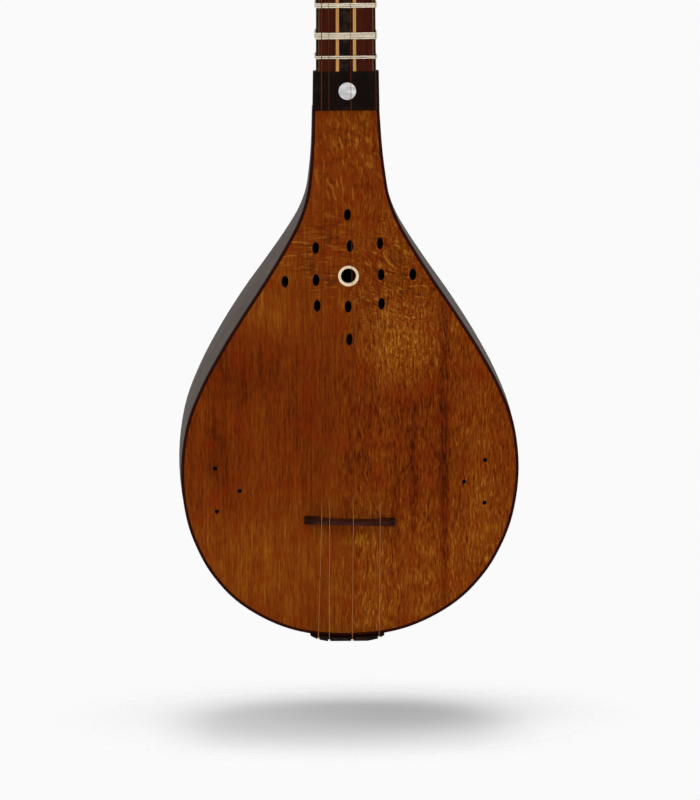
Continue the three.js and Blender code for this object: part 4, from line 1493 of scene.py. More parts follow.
@dataclass
class Soundboard:
    """The figured plate, its black edge strip and the cream ring in its middle hole."""

    shape: BodyShape
    materials: Materials
    binding: float = 1.35
    joint: float = 0.02
    outline_steps: int = 120
    plate_round: float = 0.16
    strip_round: float = 0.22
    ring_below_top: float = 78.3
    ring_across: float = 1.0
    ring_outer: float = 9.8
    ring_inner: float = 7.1
    ring_proud: float = 0.3
    ring_seat: float = 0.3
    ring_round: float = 0.28
    ring_facets: int = 72
    hole_width: float = 3.2
    hole_height: float = 5.7
    holes_clear: float = 6.5
    pinhole: float = 2.0
    seat_facets: int = 64
    oval_facets: int = 36
    pinhole_facets: int = 28
    oval_places: tuple[tuple[float, float], ...] = (
        (-0.03, 1.95), (-1.03, 0.9), (0.05, 0.95), (0.99, 1.03), (-2, -0.17), (-1.02, -0.13),
        (1.03, 0.03), (2.03, 0.03), (-0.99, -0.95), (-0.01, -0.98), (1.04, -0.9), (0.03, -2.03),
    )
    pinhole_places: tuple[tuple[float, float], ...] = (
        (-0.78, 0.321), (-0.635, 0.278), (-0.77, 0.239), (0.82, 0.333), (0.695, 0.292), (0.815, 0.252)
    )

    def build(self) -> None:
        """Build the plate, strip and ring."""
        ring_height = self.shape.top - self.ring_below_top
        room = self.shape.half_at(ring_height) - self.holes_clear - self.hole_width / 2
        pitch = room / max(across for across, _ in self.oval_places)
        seat = self.ring_outer + 2 * self.joint
        loops = [self.shape.outline(self.outline_steps, self.binding + self.joint)]
        loops.append(oval(self.ring_across, ring_height, seat, seat, self.seat_facets))
        for across, up in self.oval_places:
            x = self.ring_across + across * pitch
            z = ring_height + up * pitch
            loops.append(oval(x, z, self.hole_width, self.hole_height, self.oval_facets))
        for across, up in self.pinhole_places:
            x = across * self.shape.half
            z = self.shape.foot + up * self.shape.length
            loops.append(oval(x, z, self.pinhole, self.pinhole, self.pinhole_facets))
        board = cut_plate("soundboard_plate", loops, self.shape.plate, self.plate_round)
        hand_over(board, self.materials.soundboard, "soundboard_wood", "soundboard")

        outer, inner = (self.shape.outline(self.outline_steps, inset) for inset in (0.0, self.binding))
        edge = cut_plate("edge_strip", [outer + inner[::-1]], self.shape.plate, self.strip_round)
        hand_over(edge, self.materials.binding, "ebony", "edge_binding")
        self.build_ring(ring_height)

    def build_ring(self, height: float) -> None:
        """Turn the cream ring, with rounded edges, in its place in the board.

        Args:
            height: The height of its centre.
        """
        inner, outer = self.ring_inner / 2, self.ring_outer / 2
        rise, ease = self.ring_proud, self.ring_round
        seat = self.ring_seat - self.shape.plate
        profile = [(inner, seat), (outer, seat)]
        profile += [(outer - ease * back, rise - ease * down) for down, back in quarter()]
        profile += [(inner + ease * back, rise - ease * down) for back, down in quarter()]
        piece = lathed("sound_ring", profile, self.ring_facets, facing(self.ring_across, height))
        hand_over(piece, self.materials.bone, "bone", "sound_hole_ring")


@dataclass
class Neck:
    """The neck and head in one piece, bored for the pegs, with the collar over its joint with the body."""

    shape: NeckShape
    materials: Materials
    joint: float = 0.02
    heel_steps: int = 26
    neck_steps: int = 8
    head_steps: int = 6
    round_steps: int = 8
    facets: int = 36
    corner_steps: int = 4
    corner_room: float = 1.02
    edge_on_neck: float = 0.12
    edge_on_head: float = 0.9
    edge_change: float = 4.0
    head_chamfer: float = 2.5
    head_taper: float = 0.6
    collar_round: float = 0.28
    pearl_across: float = 0.6
    pearl_below: float = 9.4
    pearl_radius: float = 4.1
    pearl_depth: float = 1.4
    pearl_wall: float = 0.12
    pearl_ease: float = 0.1
    pearl_crown: float = 0.06
    pearl_middle: float = 0.02
    pearl_steps: int = 8
    pearl_facets: int = 64

    def build(self, bores: list[Piece]) -> None:
        """Build the neck and the collar.

        Args:
            bores: Shapes to cut for the pegs, which are used up.
        """
        shape = self.shape
        head_end = shape.head_top - self.head_chamfer
        stretches = (
            (shape.body.top + self.joint, shape.heel_top, self.heel_steps, 0),
            (shape.heel_top, shape.nut_height, self.neck_steps, 1),
            (shape.head_foot, head_end, self.head_steps, 0),
        )
        rings = []
        for low, high, steps, first in stretches:
            rings += [self.ring(mix(low, high, i / steps), 0.0) for i in range(first, steps + 1)]
        for down, back in quarter(self.round_steps)[1:]:
            height = shape.head_top - self.head_chamfer * down
            rings.append(self.ring(height, self.head_chamfer * self.head_taper * back))
        piece = lofted("neck_and_head", rings)
        for bore in bores:
            cut = piece.modifiers.new("bore", "BOOLEAN")
            cut.operation = "DIFFERENCE"
            cut.solver = "EXACT"
            cut.object = bore
        settle_modifiers(piece)
        for bore in bores:
            bpy.data.objects.remove(bore)
        shade(piece)
        hand_over(piece, self.materials.neck, "neck_wood", "neck")
        self.build_collar()

    def ring(self, height: float, inset: float) -> list[Vector]:
        """Give the neck's section at a height, with its front corners eased.

        Args:
            height: The height.
            inset: How far the section is drawn in.

        Returns:
            The section's points.
        """
        half, depth = self.shape.section(height)
        on_head = clamp((height - self.shape.nut_height) / self.edge_change)
        ease = mix(self.edge_on_neck, self.edge_on_head, on_head)
        front = self.shape.body.plate
        points = self.shape.back(half - inset, depth - inset, self.facets)
        side, corner = half - inset, quarter(self.corner_steps)
        rounded = [Vector((side - ease * a, front + ease * b)) for a, b in corner]
        kept = [p for p in points[1:-1] if p.y > front + ease * self.corner_room]
        left = [Vector((-p.x, p.y)) for p in reversed(rounded)]
        spread = self.evened(kept, self.facets - self.corner_steps)
        return [Vector((p.x, p.y, height)) * MM for p in rounded + spread + left]

    def evened(self, points: list[Vector], count: int) -> list[Vector]:
        """Space points evenly along the line through given ones.

        Args:
            points: The line's points.
            count: How many are wanted.

        Returns:
            The evenly spaced points.
        """
        reach = [0.0]
        for a, b in zip(points, points[1:]):
            reach.append(reach[-1] + (b - a).length)
        result = []
        for i in range(count):
            wanted = reach[-1] * i / (count - 1)
            k = max(j for j in range(len(reach)) if reach[j] <= wanted + ROUNDING)
            k = min(k, len(points) - 2)
            share = (wanted - reach[k]) / (reach[k + 1] - reach[k])
            result.append(points[k].lerp(points[k + 1], share))
        return result

    def build_collar(self) -> None:
        """Build the collar plate and the pearl set in it."""
        collar = softened("collar_plate", "collar", self.collar_round)
        hand_over(collar, self.materials.ebony, "ebony", "collar")
        front = self.shape.board_rise
        radius = self.pearl_radius
        back = front - self.pearl_depth
        profile = [(self.pearl_middle, back), (radius, back), (radius, front - self.pearl_wall)]
        for step in range(self.pearl_steps + 1):
            reach = mix(radius - self.pearl_ease, self.pearl_middle, step / self.pearl_steps)
            profile.append((reach, front + self.pearl_crown * (1 - (reach / radius) ** 2)))
        place = facing(self.pearl_across, self.shape.collar_top - self.pearl_below)
        piece = lathed("pearl_disc", profile, self.pearl_facets, place)
        hand_over(piece, self.materials.pearl, "pearl", "pearl_dot")


@dataclass
class Fingerboard:
    """The red-brown board, with dark strips as painted shade on its rounded sides, a thin line inside each,
    and inlays down its middle.
    """

    shape: NeckShape
    materials: Materials
    edge_width: float = 1.0
    purfling_width: float = 0.35
    strip_half: float = 3.275
    line_width: float = 1.45
    inlay_depth: float = 1.2
    edge_round: float = 0.3
    gap_at_collar: float = 0.03
    gap_at_nut: float = 0.02

    def build(self) -> None:
        """Build the board, edges, lines and inlays."""
        looks, strip_half, node = self.materials, self.strip_half, "fingerboard"
        seat, floor = self.shape.body.plate, self.inlay_depth - self.shape.board_rise
        border = self.edge_width
        inset = border + self.purfling_width
        trough = strip_half + self.line_width
        board = self.bar("fingerboard_wood", lambda half: self.board_section(half - inset, trough))
        hand_over(board, looks.fingerboard, "fingerboard_wood", node)
        for side, name in ((-1, "left"), (1, "right")):
            line = self.bar(
                f"purfling_{name}",
                lambda half: self.flush_section(side * (half - inset), side * (half - border), seat),
            )
            hand_over(line, looks.purfling, "fingerboard_wood", node)
            # Dark edge strips: painted shade on the board's rounded sides.
            edge = self.bar(f"painted_shade_edge_{name}", lambda half: self.edge_section(side, half))
            hand_over(edge, looks.ebony, "ebony", node)
            pale = self.bar(
                f"pale_line_{name}",
                lambda half: self.flush_section(side * strip_half, side * trough, floor),
            )
            hand_over(pale, looks.inlay, "pale_inlay", f"inlay_line_{name}")
        strip = self.bar("middle_strip", lambda half: self.flush_section(-strip_half, strip_half, floor))
        hand_over(strip, looks.ebony, "ebony", "centre_strip")

    def bar(self, name: str, section: Callable[[float], Section]) -> Piece:
        """Build a bar that runs the fingerboard's length.

        Args:
            name: The piece's name.
            section: Gives its section's points, across and inwards, for the board's half width.

        Returns:
            The new object.
        """
        foot = self.shape.collar_top + self.gap_at_collar
        rings = []
        for height in (foot, self.shape.heel_top, self.shape.nut_height - self.gap_at_nut):
            half, _ = self.shape.section(height)
            rings.append([Vector((x, y, height)) * MM for x, y in section(half)])
        return lofted(name, rings)

    def board_section(self, half: float, trough: float) -> Section:
        """Give the wood's section, with its trough for the inlays.

        Args:
            half: The wood's half width.
            trough: The trough's half width.

        Returns:
            The section's points.
        """
        top = -self.shape.board_rise
        floor = top + self.inlay_depth
        seat = self.shape.body.plate
        right = [(trough, floor), (trough, top), (half, top), (half, seat)]
        return [(-x, y) for x, y in reversed(right)] + right

    def flush_section(self, near: float, far: float, foot: float) -> Section:
        """Give the section of a line or inlay whose top is the board's, down to its foot."""
        top = -self.shape.board_rise
        return [(near, foot), (near, top), (far, top), (far, foot)]

    def edge_section(self, side: int, half: float) -> Section:
        """Give the section of a dark edge strip, painted shade on the board's rounded side, with its outer
        corner rounded.

        Args:
            side: -1 for the left edge and 1 for the right.
            half: The board's half width.

        Returns:
            The section's points.
        """
        top, seat, ease = -self.shape.board_rise, self.shape.body.plate, self.edge_round
        near = half - self.edge_width
        corner = [(side * (half - ease * a), top + ease * b) for a, b in quarter()]
        return [(side * near, seat), (side * near, top)] + corner + [(side * half, seat)]


@dataclass
class Fittings:
    """The nut, bridge and tailpiece."""

    materials: Materials
    edge: float = 0.24

    def build(self) -> None:
        """Build the three pieces with rounded edges."""
        looks, edge = self.materials, self.edge
        hand_over(softened("bone_nut", "nut", edge), looks.bone, "bone", "nut")
        bridge = softened("arched_bridge", "bridge", edge)
        hand_over(bridge, looks.bridge, "bridge_wood", "bridge", body="bridge")
        hand_over(softened("string_holder", "tailpiece", edge), looks.ebony, "ebony", "tailpiece")


FRETS = (
    (90, 3), (135, 3), (204, 4), (294, 3), (340, 3), (408, 4), (498, 4), (565, 3), (620, 3),
    (702, 4), (792, 3), (840, 3), (906, 4), (996, 4), (1040, 3), (1110, 3), (1200, 4), (1290, 3),
    (1335, 3), (1404, 4), (1494, 3), (1540, 3), (1608, 4), (1719, 3), (1824, 4), (1902, 2),
)


@dataclass
class Frets:
    """The tied gut frets, each of two to four turns with its knot on the bass side."""

    shape: NeckShape
    materials: Materials
    tubes: TubeTree
    scale: float = 659.0
    gut: float = 0.8
    radius: float = 0.35
    thin_radius: float = 0.3
    off: float = 0.41
    corner: float = 0.8
    wobble: float = 0.34
    seed_step: float = 3.7
    sides: int = 10
    knot_sides: int = 8
    side_points: tuple[float, ...] = (1.5, 0.2)
    front_steps: int = 22
    back_steps: int = 28
    knot_search: int = 240
    knot_depth: float = 0.8
    knot_slimness: float = 0.92
    knot_steps: int = 14
    knot_overhang: float = 0.55
    knot_lean: float = 1.3
    knot_rises: tuple[float, ...] = (1.0, 1.55)
    knot_sink: float = 0.12

    def build(self) -> None:
        """Build every fret."""
        foot = self.shape.nut_height - self.scale
        for index, (cents, turns) in enumerate(FRETS):
            height = foot + self.scale * 2 ** (-cents / CENTS_IN_OCTAVE)
            self.build_fret(index, height, turns)

    def build_fret(self, index: int, height: float, turns: int) -> None:
        """Build one fret's turns and knot.

        Args:
            index: Which fret it is.
            height: The height of its middle.
            turns: How many turns it has.
        """
        node = f"fret_{index + 1:02d}"
        gut = self.materials.gut
        radius = (self.thin_radius if turns == 2 else self.radius) * MM
        laying = {"pitch": self.gut * MM, "wobble": self.wobble * MM, "seed": index * self.seed_step}
        laying |= {"radius": radius, "sides": self.sides, "turns": turns, "material": gut}
        loops = self.tubes.lay(f"{node}_turns", [self.contour(height)], closed=True, **laying)
        strands = {"radius": radius * self.knot_slimness, "sides": self.knot_sides, "material": gut}
        paths = self.knot_paths(height, turns)
        knot = self.tubes.lay(f"{node}_knot", paths, closed=False, **strands)
        hand_over(joined(f"{node}_gut", [loops, knot]), gut, "gut", node, body=node)

    def contour(self, height: float) -> list[Vector]:
        """Give the path of one turn round the neck and fingerboard.

        Args:
            height: Its height.

        Returns:
            The path's points.
        """
        half, depth = self.shape.section(height)
        points = self.shape.back(half + self.off, depth + self.off, self.back_steps)
        side = half + self.off
        front = -self.shape.board_rise - self.off
        corner = self.corner
        inner = side - corner
        flat = [mix(-inner, inner, i / self.front_steps) for i in range(1, self.front_steps)]
        points += [Vector((-side, y)) for y in self.side_points]
        points += [Vector((corner * b - side, front + corner * a)) for a, b in quarter()]
        points += [Vector((x, front)) for x in flat]
        points += [Vector((side - corner * a, front + corner * b)) for a, b in quarter()]
        points += [Vector((side, y)) for y in reversed(self.side_points)]
        return [Vector((p.x, p.y, height)) * MM for p in points]

    def knot_paths(self, height: float, turns: int) -> list[list[Vector]]:
        """Give the two crossed strands of a fret's knot, on the bass side of the neck.

        Args:
            height: The fret's height.
            turns: How many turns the strands cross.

        Returns:
            The strands' points.
        """
        half, depth = self.shape.section(height)
        arc = self.shape.back(half + self.off, depth + self.off, self.knot_search)
        target = self.shape.body.plate + depth * self.knot_depth
        on_left = (i for i, p in enumerate(arc) if p.x < 0)
        middle = min(on_left, key=lambda i: abs(arc[i].y - target))
        here, ahead = arc[middle], arc[middle + 1]
        along = (ahead - here).normalized()
        outward = Vector((along.y, -along.x))
        if outward.x > 0:
            outward = -outward
        reach = turns * self.gut / 2 + self.knot_overhang
        paths = []
        for lean, rise in zip((-self.knot_lean, self.knot_lean), self.knot_rises):
            path = []
            for step in range(self.knot_steps + 1):
                share = mix(-1.0, 1.0, step / self.knot_steps)
                lift = (1 - abs(share) ** 3) * self.gut * rise - self.knot_sink
                place = here + along * (lean * share) + outward * lift
                path.append(Vector((place.x, place.y, height + share * reach)) * MM)
            paths.append(path)
        return paths


@dataclass(frozen=True)
class StringPlan:
    """One string's thickness, its places across, and the peg that it winds on, in millimetres."""

    name: str
    gauge: float
    spread: float
    tail: float
    side: PegSide
    peg_share: float
    peg_across: float
    thumb_turn: float
    slot: str


STRINGS = (
    StringPlan("bass", 0.4, -1.0, -1.0, PegSide.LEFT, 0.0, 0.0, 1.1, "bronze_wire"),
    StringPlan("drone", 0.2, -0.73, -0.64, PegSide.LEFT, 0.6774, 0.0, 0.35, "steel_wire"),
    StringPlan("middle", 0.24, 0.08, 0.12, PegSide.FRONT, 0.3226, -3.0, -0.5, "brass_wire"),
    StringPlan("treble", 0.2, 1.0, 1.0, PegSide.FRONT, 1.0, 4.0, 0.9, "steel_wire"),
)


@dataclass(frozen=True)
class PegPlace:
    """Where a peg's axis meets the head, and how deep the head is along it, in millimetres."""

    across: float
    inwards: float
    height: float
    passage: float


@dataclass
class Pegs:
    """The four turned pegs with flattened thumbs."""

    shape: NeckShape
    materials: Materials
    first_above_nut: float = 30.0
    last_below_top: float = 23.0
    side_depth: float = 8.5
    radius: float = 4.4
    tip_radius: float = 3.7
    reach: float = 14.0
    tip_reach: float = 4.5
    bead_radius: float = 5.8
    bead_length: float = 3.4
    waist_radius: float = 3.6
    waist_length: float = 5.0
    thumb_width: float = 21.0
    thumb_length: float = 24.0
    thumb_thickness: float = 8.0
    facets: int = 48
    bore_clearance: float = 0.05
    bore_overhang: float = 3.0
    tip_middle: float = 0.05
    tip_round: float = 1.0
    tip_steps: int = 6
    shank_steps: int = 12
    shank_end: float = 0.9
    bead_foot: tuple[tuple[float, float], ...] = ((-0.7, 4.28), (-0.5, 4.28), (-0.4, 4.75))
    bead_steps: int = 14
    bead_overlap: float = 0.1
    bead_fullness: float = 0.7
    waist_curve: tuple[tuple[float, float], ...] = ((0.1, 4.7), (0.25, 4.1), (0.7, 3.75))
    thumb_arc: tuple[float, float] = (-78.0, 89.2)
    thumb_steps: int = 30
    thumb_crowding: float = 0.9
    thumb_foot_share: float = 0.93
    easing: int = 5

    def place(self, plan: StringPlan) -> PegPlace:
        """Give the place of a string's peg.

        Args:
            plan: The string.

        Returns:
            The peg's place.
        """
        lowest = self.shape.nut_height + self.first_above_nut
        height = mix(lowest, self.shape.head_top - self.last_below_top, plan.peg_share)
        half, depth = self.shape.section(height)
        plate = self.shape.body.plate
        if plan.side is PegSide.LEFT:
            return PegPlace(-half, plate + self.side_depth, height, 2 * half)
        return PegPlace(plan.peg_across, plate, height, depth)

    def axis(self, plan: StringPlan) -> Matrix:
        """Give the turn and move that set a peg, made along +Y, in its place.

        Args:
            plan: The string whose peg it is.

        Returns:
            The turn and move.
        """
        place = self.place(plan)
        spot = Matrix.Translation(Vector((place.across, place.inwards, place.height)) * MM)
        turn = Matrix.Rotation(math.pi, 4, "X")
        if plan.side is PegSide.LEFT:
            turn = Matrix.Rotation(math.pi / 2, 4, "Z")
        return spot @ turn @ Matrix.Rotation(plan.thumb_turn, 4, "Y")

    def shank(self, out: float, passage: float) -> float:
        """Give the shank's radius at a distance out from the head."""
        tip = -passage - self.tip_reach
        return mix(self.tip_radius, self.radius, (out - tip) / (self.reach - tip))

    def bores(self) -> list[Piece]:
        """Make the shapes that the head is cut with, a hair wider than the shanks.

        Returns:
            One object for each peg.
        """
        made = []
        for plan in STRINGS:
            passage = self.place(plan).passage
            sections = []
            for out in (-passage - self.bore_overhang, self.bore_overhang):
                radius = self.shank(out, passage) + self.bore_clearance
                sections.append((out, radius, radius))
            made.append(self.turned(f"bore_{plan.name}", plan, sections))
        return made

    def turned(self, name: str, plan: StringPlan, sections: list[tuple[float, float, float]]) -> Piece:
        """Make a shape from rounded sections along a peg's axis.

        Args:
            name: The piece's name.
            plan: The string whose peg it is.
            sections: Each section's distance out from the head and its two half widths.

        Returns:
            The new object.
        """
        place = self.axis(plan)
        rings = []
        for out, wide, thick in sections:
            ring = [Vector((wide * cosine, out, thick * sine)) for cosine, sine in circle(self.facets)]
            rings.append([place @ (point * MM) for point in ring])
        return lofted(name, rings)

    def sections(self, passage: float) -> list[tuple[float, float, float]]:
        """Give a peg's sections from its tip to the end of its thumb.

        Args:
            passage: How deep the head is along the peg.

        Returns:
            Each section's distance out from the head and its two half widths.
        """
        tip = -passage - self.tip_reach
        ease = self.tip_round
        round_parts = [(tip, self.tip_middle)]
        corner = quarter(self.tip_steps)
        round_parts += [(tip + ease * b, self.tip_radius - ease * a) for a, b in corner]
        for step in range(1, self.shank_steps + 1):
            out = mix(tip + ease, self.reach - self.shank_end, step / self.shank_steps)
            round_parts.append((out, self.shank(out, passage)))
        round_parts += [(self.reach + out, radius) for out, radius in self.bead_foot]
        low = self.bead_foot[-1][1]
        half_bead = self.bead_length / 2
        for step in range(1, self.bead_steps):
            turn = math.pi * step / self.bead_steps
            out = self.reach + half_bead - (half_bead + self.bead_overlap) * math.cos(turn)
            swell = math.sin(turn) ** self.bead_fullness
            round_parts.append((out, mix(low, self.bead_radius, swell)))
        waist = self.reach + self.bead_length
        round_parts += [(waist + out, radius) for out, radius in self.waist_curve]
        result = [(out, radius, radius) for out, radius in round_parts]

        half_length = self.thumb_length / 2
        middle = waist + self.waist_length + half_length - self.waist_radius
        start, end = (math.radians(degrees) for degrees in self.thumb_arc)
        for step in range(self.thumb_steps + 1):
            turn = mix(start, end, (step / self.thumb_steps) ** self.thumb_crowding)
            swell = math.cos(turn) / 2
            low = self.waist_radius if turn < 0 else 0.0
            wide = self.rounded_most(self.thumb_width * swell, low)
            thick = self.rounded_most(self.thumb_thickness * swell, low * self.thumb_foot_share)
            result.append((middle + half_length * math.sin(turn), wide, thick))
        return result

    def rounded_most(self, first: float, second: float) -> float:
        """Give the larger of two lengths, eased where they are close."""
        return (first**self.easing + second**self.easing) ** (1 / self.easing)

    def build(self) -> None:
        """Build the four pegs."""
        for plan in STRINGS:
            sections = self.sections(self.place(plan).passage)
            piece = self.turned(f"turned_peg_{plan.name}", plan, sections)
            node = f"peg_{plan.name}"
            hand_over(piece, self.materials.peg[plan.side], "peg_wood", node, body=node)


@dataclass
class Strings:
    """The four metal strings, from the tailpiece over the bridge and nut to their turns on the pegs."""

    shape: NeckShape
    materials: Materials
    tubes: TubeTree
    pegs: Pegs
    scale: float = 659.0
    spread_at_tail: float = 28.5
    spread_at_bridge: float = 27.4
    spread_at_nut: float = 21.0
    shift_at_tail: float = 0.6
    shift_at_bridge: float = 1.6
    rise_at_bridge: float = 8.0
    rise_at_nut: float = 3.2
    bridge_across: float = 1.2
    slant_degrees: float = 1.7
    tail_front: float = 2.9
    groove_end: float = 7.7
    groove_seat: float = 0.1
    tail_half: float = 17.3
    corner_rise: float = 2.6
    underside: tuple[tuple[float, float], ...] = ((0, 0), (0.55, 0), (0.82, 0.37), (1, 1))
    clearance: float = 0.06
    bend: float = 0.5
    bend_steps: int = 6
    sides: int = 10
    turns: int = 3
    turn_steps: int = 40
    tuck_steps: int = 5
    tuck_depth: float = 0.5
    pitch: float = 1.0
    from_head: float = 5.0
    half_turns: float = 1.5

    def build(self) -> None:
        """Build the four strings."""
        for plan in STRINGS:
            route = [point * MM for point in self.route(plan)]
            wire = self.materials.wires[plan.slot]
            sizes = {"radius": plan.gauge / 2 * MM, "sides": self.sides, "material": wire}
            piece = self.tubes.lay(f"wire_{plan.name}", [route], closed=False, **sizes)
            hand_over(piece, wire, plan.slot, f"string_{plan.name}")

    def tail_floor(self, x: float) -> float:
        """Give the height of the tailpiece's underside at a place across.

        Args:
            x: The place across.

        Returns:
            The height.
        """
        share = abs(x) / self.tail_half
        for (near, low), (far, high) in zip(self.underside, self.underside[1:]):
            if share <= far:
                return self.corner_rise * mix(low, high, (share - near) / (far - near))
        return self.corner_rise

    def route(self, plan: StringPlan) -> list[Vector]:
        """Give the string's points from the tailpiece to its end on the peg.

        Args:
            plan: Which string it is.

        Returns:
            The points.
        """
        radius = plan.gauge / 2
        tail_x = self.shift_at_tail + plan.tail * self.spread_at_tail / 2
        bridge_x = self.shift_at_bridge + plan.spread * self.spread_at_bridge / 2
        nut_x = plan.spread * self.spread_at_nut / 2
        groove = self.tail_floor(tail_x) + self.groove_seat + radius
        front = -self.tail_front - self.clearance - radius
        slant = math.tan(math.radians(self.slant_degrees))
        foot = self.shape.nut_height - self.scale
        bridge_z = foot - (bridge_x - self.bridge_across) * slant
        corner, bend = quarter(self.bend_steps), self.bend
        bent = [Vector((tail_x, front + bend * a, groove + bend * b)) for a, b in corner]
        points = [Vector((tail_x, self.groove_end, groove))] + bent
        points.append(Vector((bridge_x, -self.rise_at_bridge, bridge_z)))
        points.append(Vector((nut_x, -self.rise_at_nut, self.shape.nut_height)))
        on_nut = Vector((nut_x, -self.rise_at_nut, self.shape.head_foot))
        return points + [on_nut] + self.winding(plan, on_nut)

    def winding(self, plan: StringPlan, start: Vector) -> list[Vector]:
        """Give the turns on the peg, from where the string first touches it.

        Args:
            plan: Which string it is.
            start: Where the string leaves the nut.

        Returns:
            The points.
        """
        place = self.pegs.place(plan)
        on_left = plan.side is PegSide.LEFT
        shank = self.pegs.shank(self.from_head + self.half_turns, place.passage)
        radius = shank + plan.gauge / 2 + self.clearance
        centre = Vector((place.inwards if on_left else place.across, place.height))
        source = Vector((start.y if on_left else start.x, start.z))
        away = source - centre
        sense = -1 if on_left else 1
        first = math.atan2(away.y, away.x) + sense * math.acos(radius / away.length)
        out = (place.across if on_left else place.inwards) - self.from_head
        points = []
        steps = self.turns * self.turn_steps
        for i in range(steps + self.tuck_steps + 1):
            turns = i / self.turn_steps
            sunk = max(0, i - steps) / self.tuck_steps
            reach = radius - sunk * (plan.gauge + self.tuck_depth)
            angle = first + sense * turns * 2 * math.pi
            side = centre.x + reach * math.cos(angle)
            height = centre.y + reach * math.sin(angle)
            level = out - turns * self.pitch
            points.append(Vector((level, side, height)) if on_left else Vector((side, level, height)))
        return points


def joined(name: str, parts: list[Piece]) -> Piece:
    """Join several pieces into one.

    Args:
        name: The new piece's name.
        parts: The pieces, which are used up.

    Returns:
        The new object.
    """
    shape = bmesh.new()
    for part in parts:
        shape.from_mesh(part.data)
    mesh = bpy.data.meshes.new(name)
    shape.to_mesh(mesh)
    shape.free()
    for part in parts:
        bpy.data.objects.remove(part)
    piece = new_object(name, mesh)
    shade(piece, TUBE_DEGREES)
    return piece


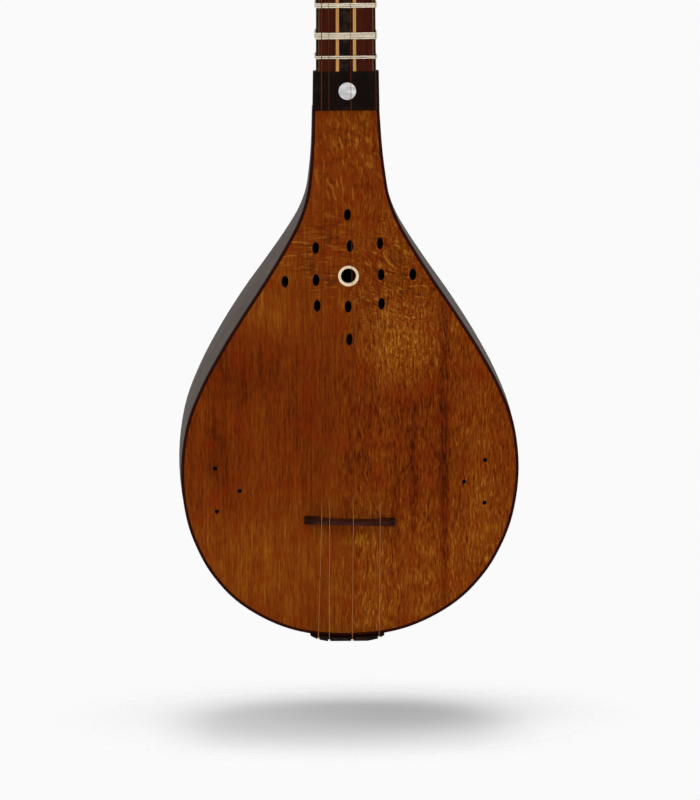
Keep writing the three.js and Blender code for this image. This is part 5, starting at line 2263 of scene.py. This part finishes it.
@dataclass
class Studio:
    """A pale floor that fades into a white background, soft lights and the camera, in metres."""

    floor_height: float = -0.0498
    floor_middle: float = 0.061
    floor_reach: float = 0.167
    floor_squash: float = 1.27
    floor_fade: tuple[float, float] = (0.25, 0.95)
    floor_tone: float = 0.87
    floor_facets: int = 96
    background: float = 0.956
    front_level: float = 1.0
    back_level: float = 0.5
    dim_level: float = 0.03
    rim_level: float = 0.25
    right_gain: float = 1.5
    glow: Colour = (1.0, 0.92, 0.86, 1.0)
    lights: tuple[tuple[str, float, float, float, float], ...] = (
        ("key_light", -35.0, 35.0, 0.5, 35.0), ("top_light", 180.0, 82.5, 1.08, 18.0)
    )
    azimuth: float = -2.0
    elevation: float = 9.4
    distance: float = 12.0
    lens: float = 1154.8
    sensor: float = 36.0
    aim: tuple[float, float, float] = (0.00155, 0.0, 0.1139)
    roll: float = -0.14

    def build(self) -> None:
        """Build the floor, world, lights and camera."""
        bpy.context.scene.view_settings.view_transform = "Standard"
        self.build_floor()
        self.build_world()
        for light in self.lights:
            self.build_sun(*light)
        self.build_camera()

    def direction(self, azimuth: float, elevation: float) -> Vector:
        """Give the direction from the object towards an azimuth and elevation in degrees."""
        a, e = math.radians(azimuth), math.radians(elevation)
        return Vector((math.sin(a) * math.cos(e), -math.cos(a) * math.cos(e), math.sin(e)))

    def build_floor(self) -> None:
        """Build a disc whose rim fades into the background."""
        reach, squash, tone = self.floor_reach, self.floor_squash, self.floor_tone
        middle = Vector((0, self.floor_middle, self.floor_height))
        ring = [middle + Vector((*turn, 0)) * reach for turn in circle(self.floor_facets)]
        floor = new_piece("studio_floor", ring, [tuple(range(self.floor_facets))])
        material = bpy.data.materials.new("pale_floor")
        material.use_nodes = True
        material.node_tree.nodes.clear()
        build = TreeBuilder(material.node_tree)
        paper = build.take("ShaderNodeBsdfDiffuse", {"Color": (tone, tone, tone, 1.0), "Roughness": 1.0})
        clear = build.take("ShaderNodeBsdfTransparent")
        place = build.add("ShaderNodeTexCoord").outputs["Object"]
        place = build.stretched(place, 1.0, squash, 1.0)
        hub = {0: place, 1: (middle.x, middle.y * squash, middle.z)}
        away = build.add("ShaderNodeVectorMath", hub, operation="DISTANCE").outputs["Value"]
        share = build.span(away, *(reach * part for part in self.floor_fade))
        mixed = build.take("ShaderNodeMixShader", {0: share, 1: paper, 2: clear})
        build.add("ShaderNodeOutputMaterial", {"Surface": mixed})
        floor.data.materials.append(material)

    def build_world(self) -> None:
        """Build a white background that is dim and warm in reflections, and gives plain soft light."""
        world = bpy.data.worlds.new("studio_world")
        bpy.context.scene.world = world
        world.use_nodes = True
        world.cycles.sampling_method = "NONE"
        world.node_tree.nodes.clear()
        build = TreeBuilder(world.node_tree)
        level = self.background
        white = build.take("ShaderNodeBackground", {"Color": (level, level, level, 1.0), "Strength": 1.0})
        towards = build.add("ShaderNodeTexCoord").outputs["Generated"]
        x, y, _ = build.split(towards)
        glow = build.span(y, -0.55, 0.25, self.dim_level, self.rim_level)
        glow = build.times(glow, build.span(x, 0.2, 0.8, 1.0, self.right_gain))
        seen = build.take("ShaderNodeBackground", {"Color": self.glow, "Strength": glow})
        soft = build.span(y, -1.0, 0.2, self.front_level, self.back_level)
        light = build.take("ShaderNodeBackground", {"Color": (1, 1, 1, 1), "Strength": soft})
        rays = build.add("ShaderNodeLightPath").outputs
        shiny = build.math("MAXIMUM", rays["Is Glossy Ray"], rays["Is Transmission Ray"])
        first = build.take("ShaderNodeMixShader", {0: shiny, 1: light, 2: seen})
        last = build.take("ShaderNodeMixShader", {0: rays["Is Camera Ray"], 1: first, 2: white})
        build.add("ShaderNodeOutputWorld", {"Surface": last})

    def build_sun(
        self, name: str, azimuth: float, elevation: float, strength: float, spread: float
    ) -> None:
        """Add a broad soft light far away.

        Args:
            name: The light's name.
            azimuth: Where it stands, in degrees round the object.
            elevation: How high it stands, in degrees.
            strength: Its strength.
            spread: How wide it looks from the object, in degrees.
        """
        data = bpy.data.lights.new(name, "SUN")
        data.energy = strength
        data.angle = math.radians(spread)
        towards = self.direction(azimuth, elevation)
        new_object(name, data).rotation_euler = towards.to_track_quat("Z", "Y").to_euler()

    def build_camera(self) -> None:
        """Set the camera where the photograph was taken from."""
        data = bpy.data.cameras.new("photo_camera")
        data.lens = self.lens
        data.sensor_width = self.sensor
        camera = new_object("photo_camera", data)
        back = self.direction(self.azimuth, self.elevation)
        camera.location = Vector(self.aim) + back * self.distance
        turned = back.to_track_quat("Z", "Y") @ Quaternion((0, 0, 1), math.radians(self.roll))
        camera.rotation_euler = turned.to_euler()
        bpy.context.scene.camera = camera


def main() -> None:
    """Build every part of the instrument in order, and the studio round it."""
    logging.basicConfig(level=logging.INFO, format="%(message)s")
    Studio().build()
    materials = Materials()
    tubes = TubeTree()
    body = BodyShape()
    neck = NeckShape(body)
    pegs = Pegs(neck, materials)
    Bowl(body, materials).build()
    Soundboard(body, materials).build()
    Neck(neck, materials).build(pegs.bores())
    Fingerboard(neck, materials).build()
    Fittings(materials).build()
    Frets(neck, materials, tubes).build()
    pegs.build()
    Strings(neck, materials, tubes, pegs).build()


if __name__ == "__main__":
    main()
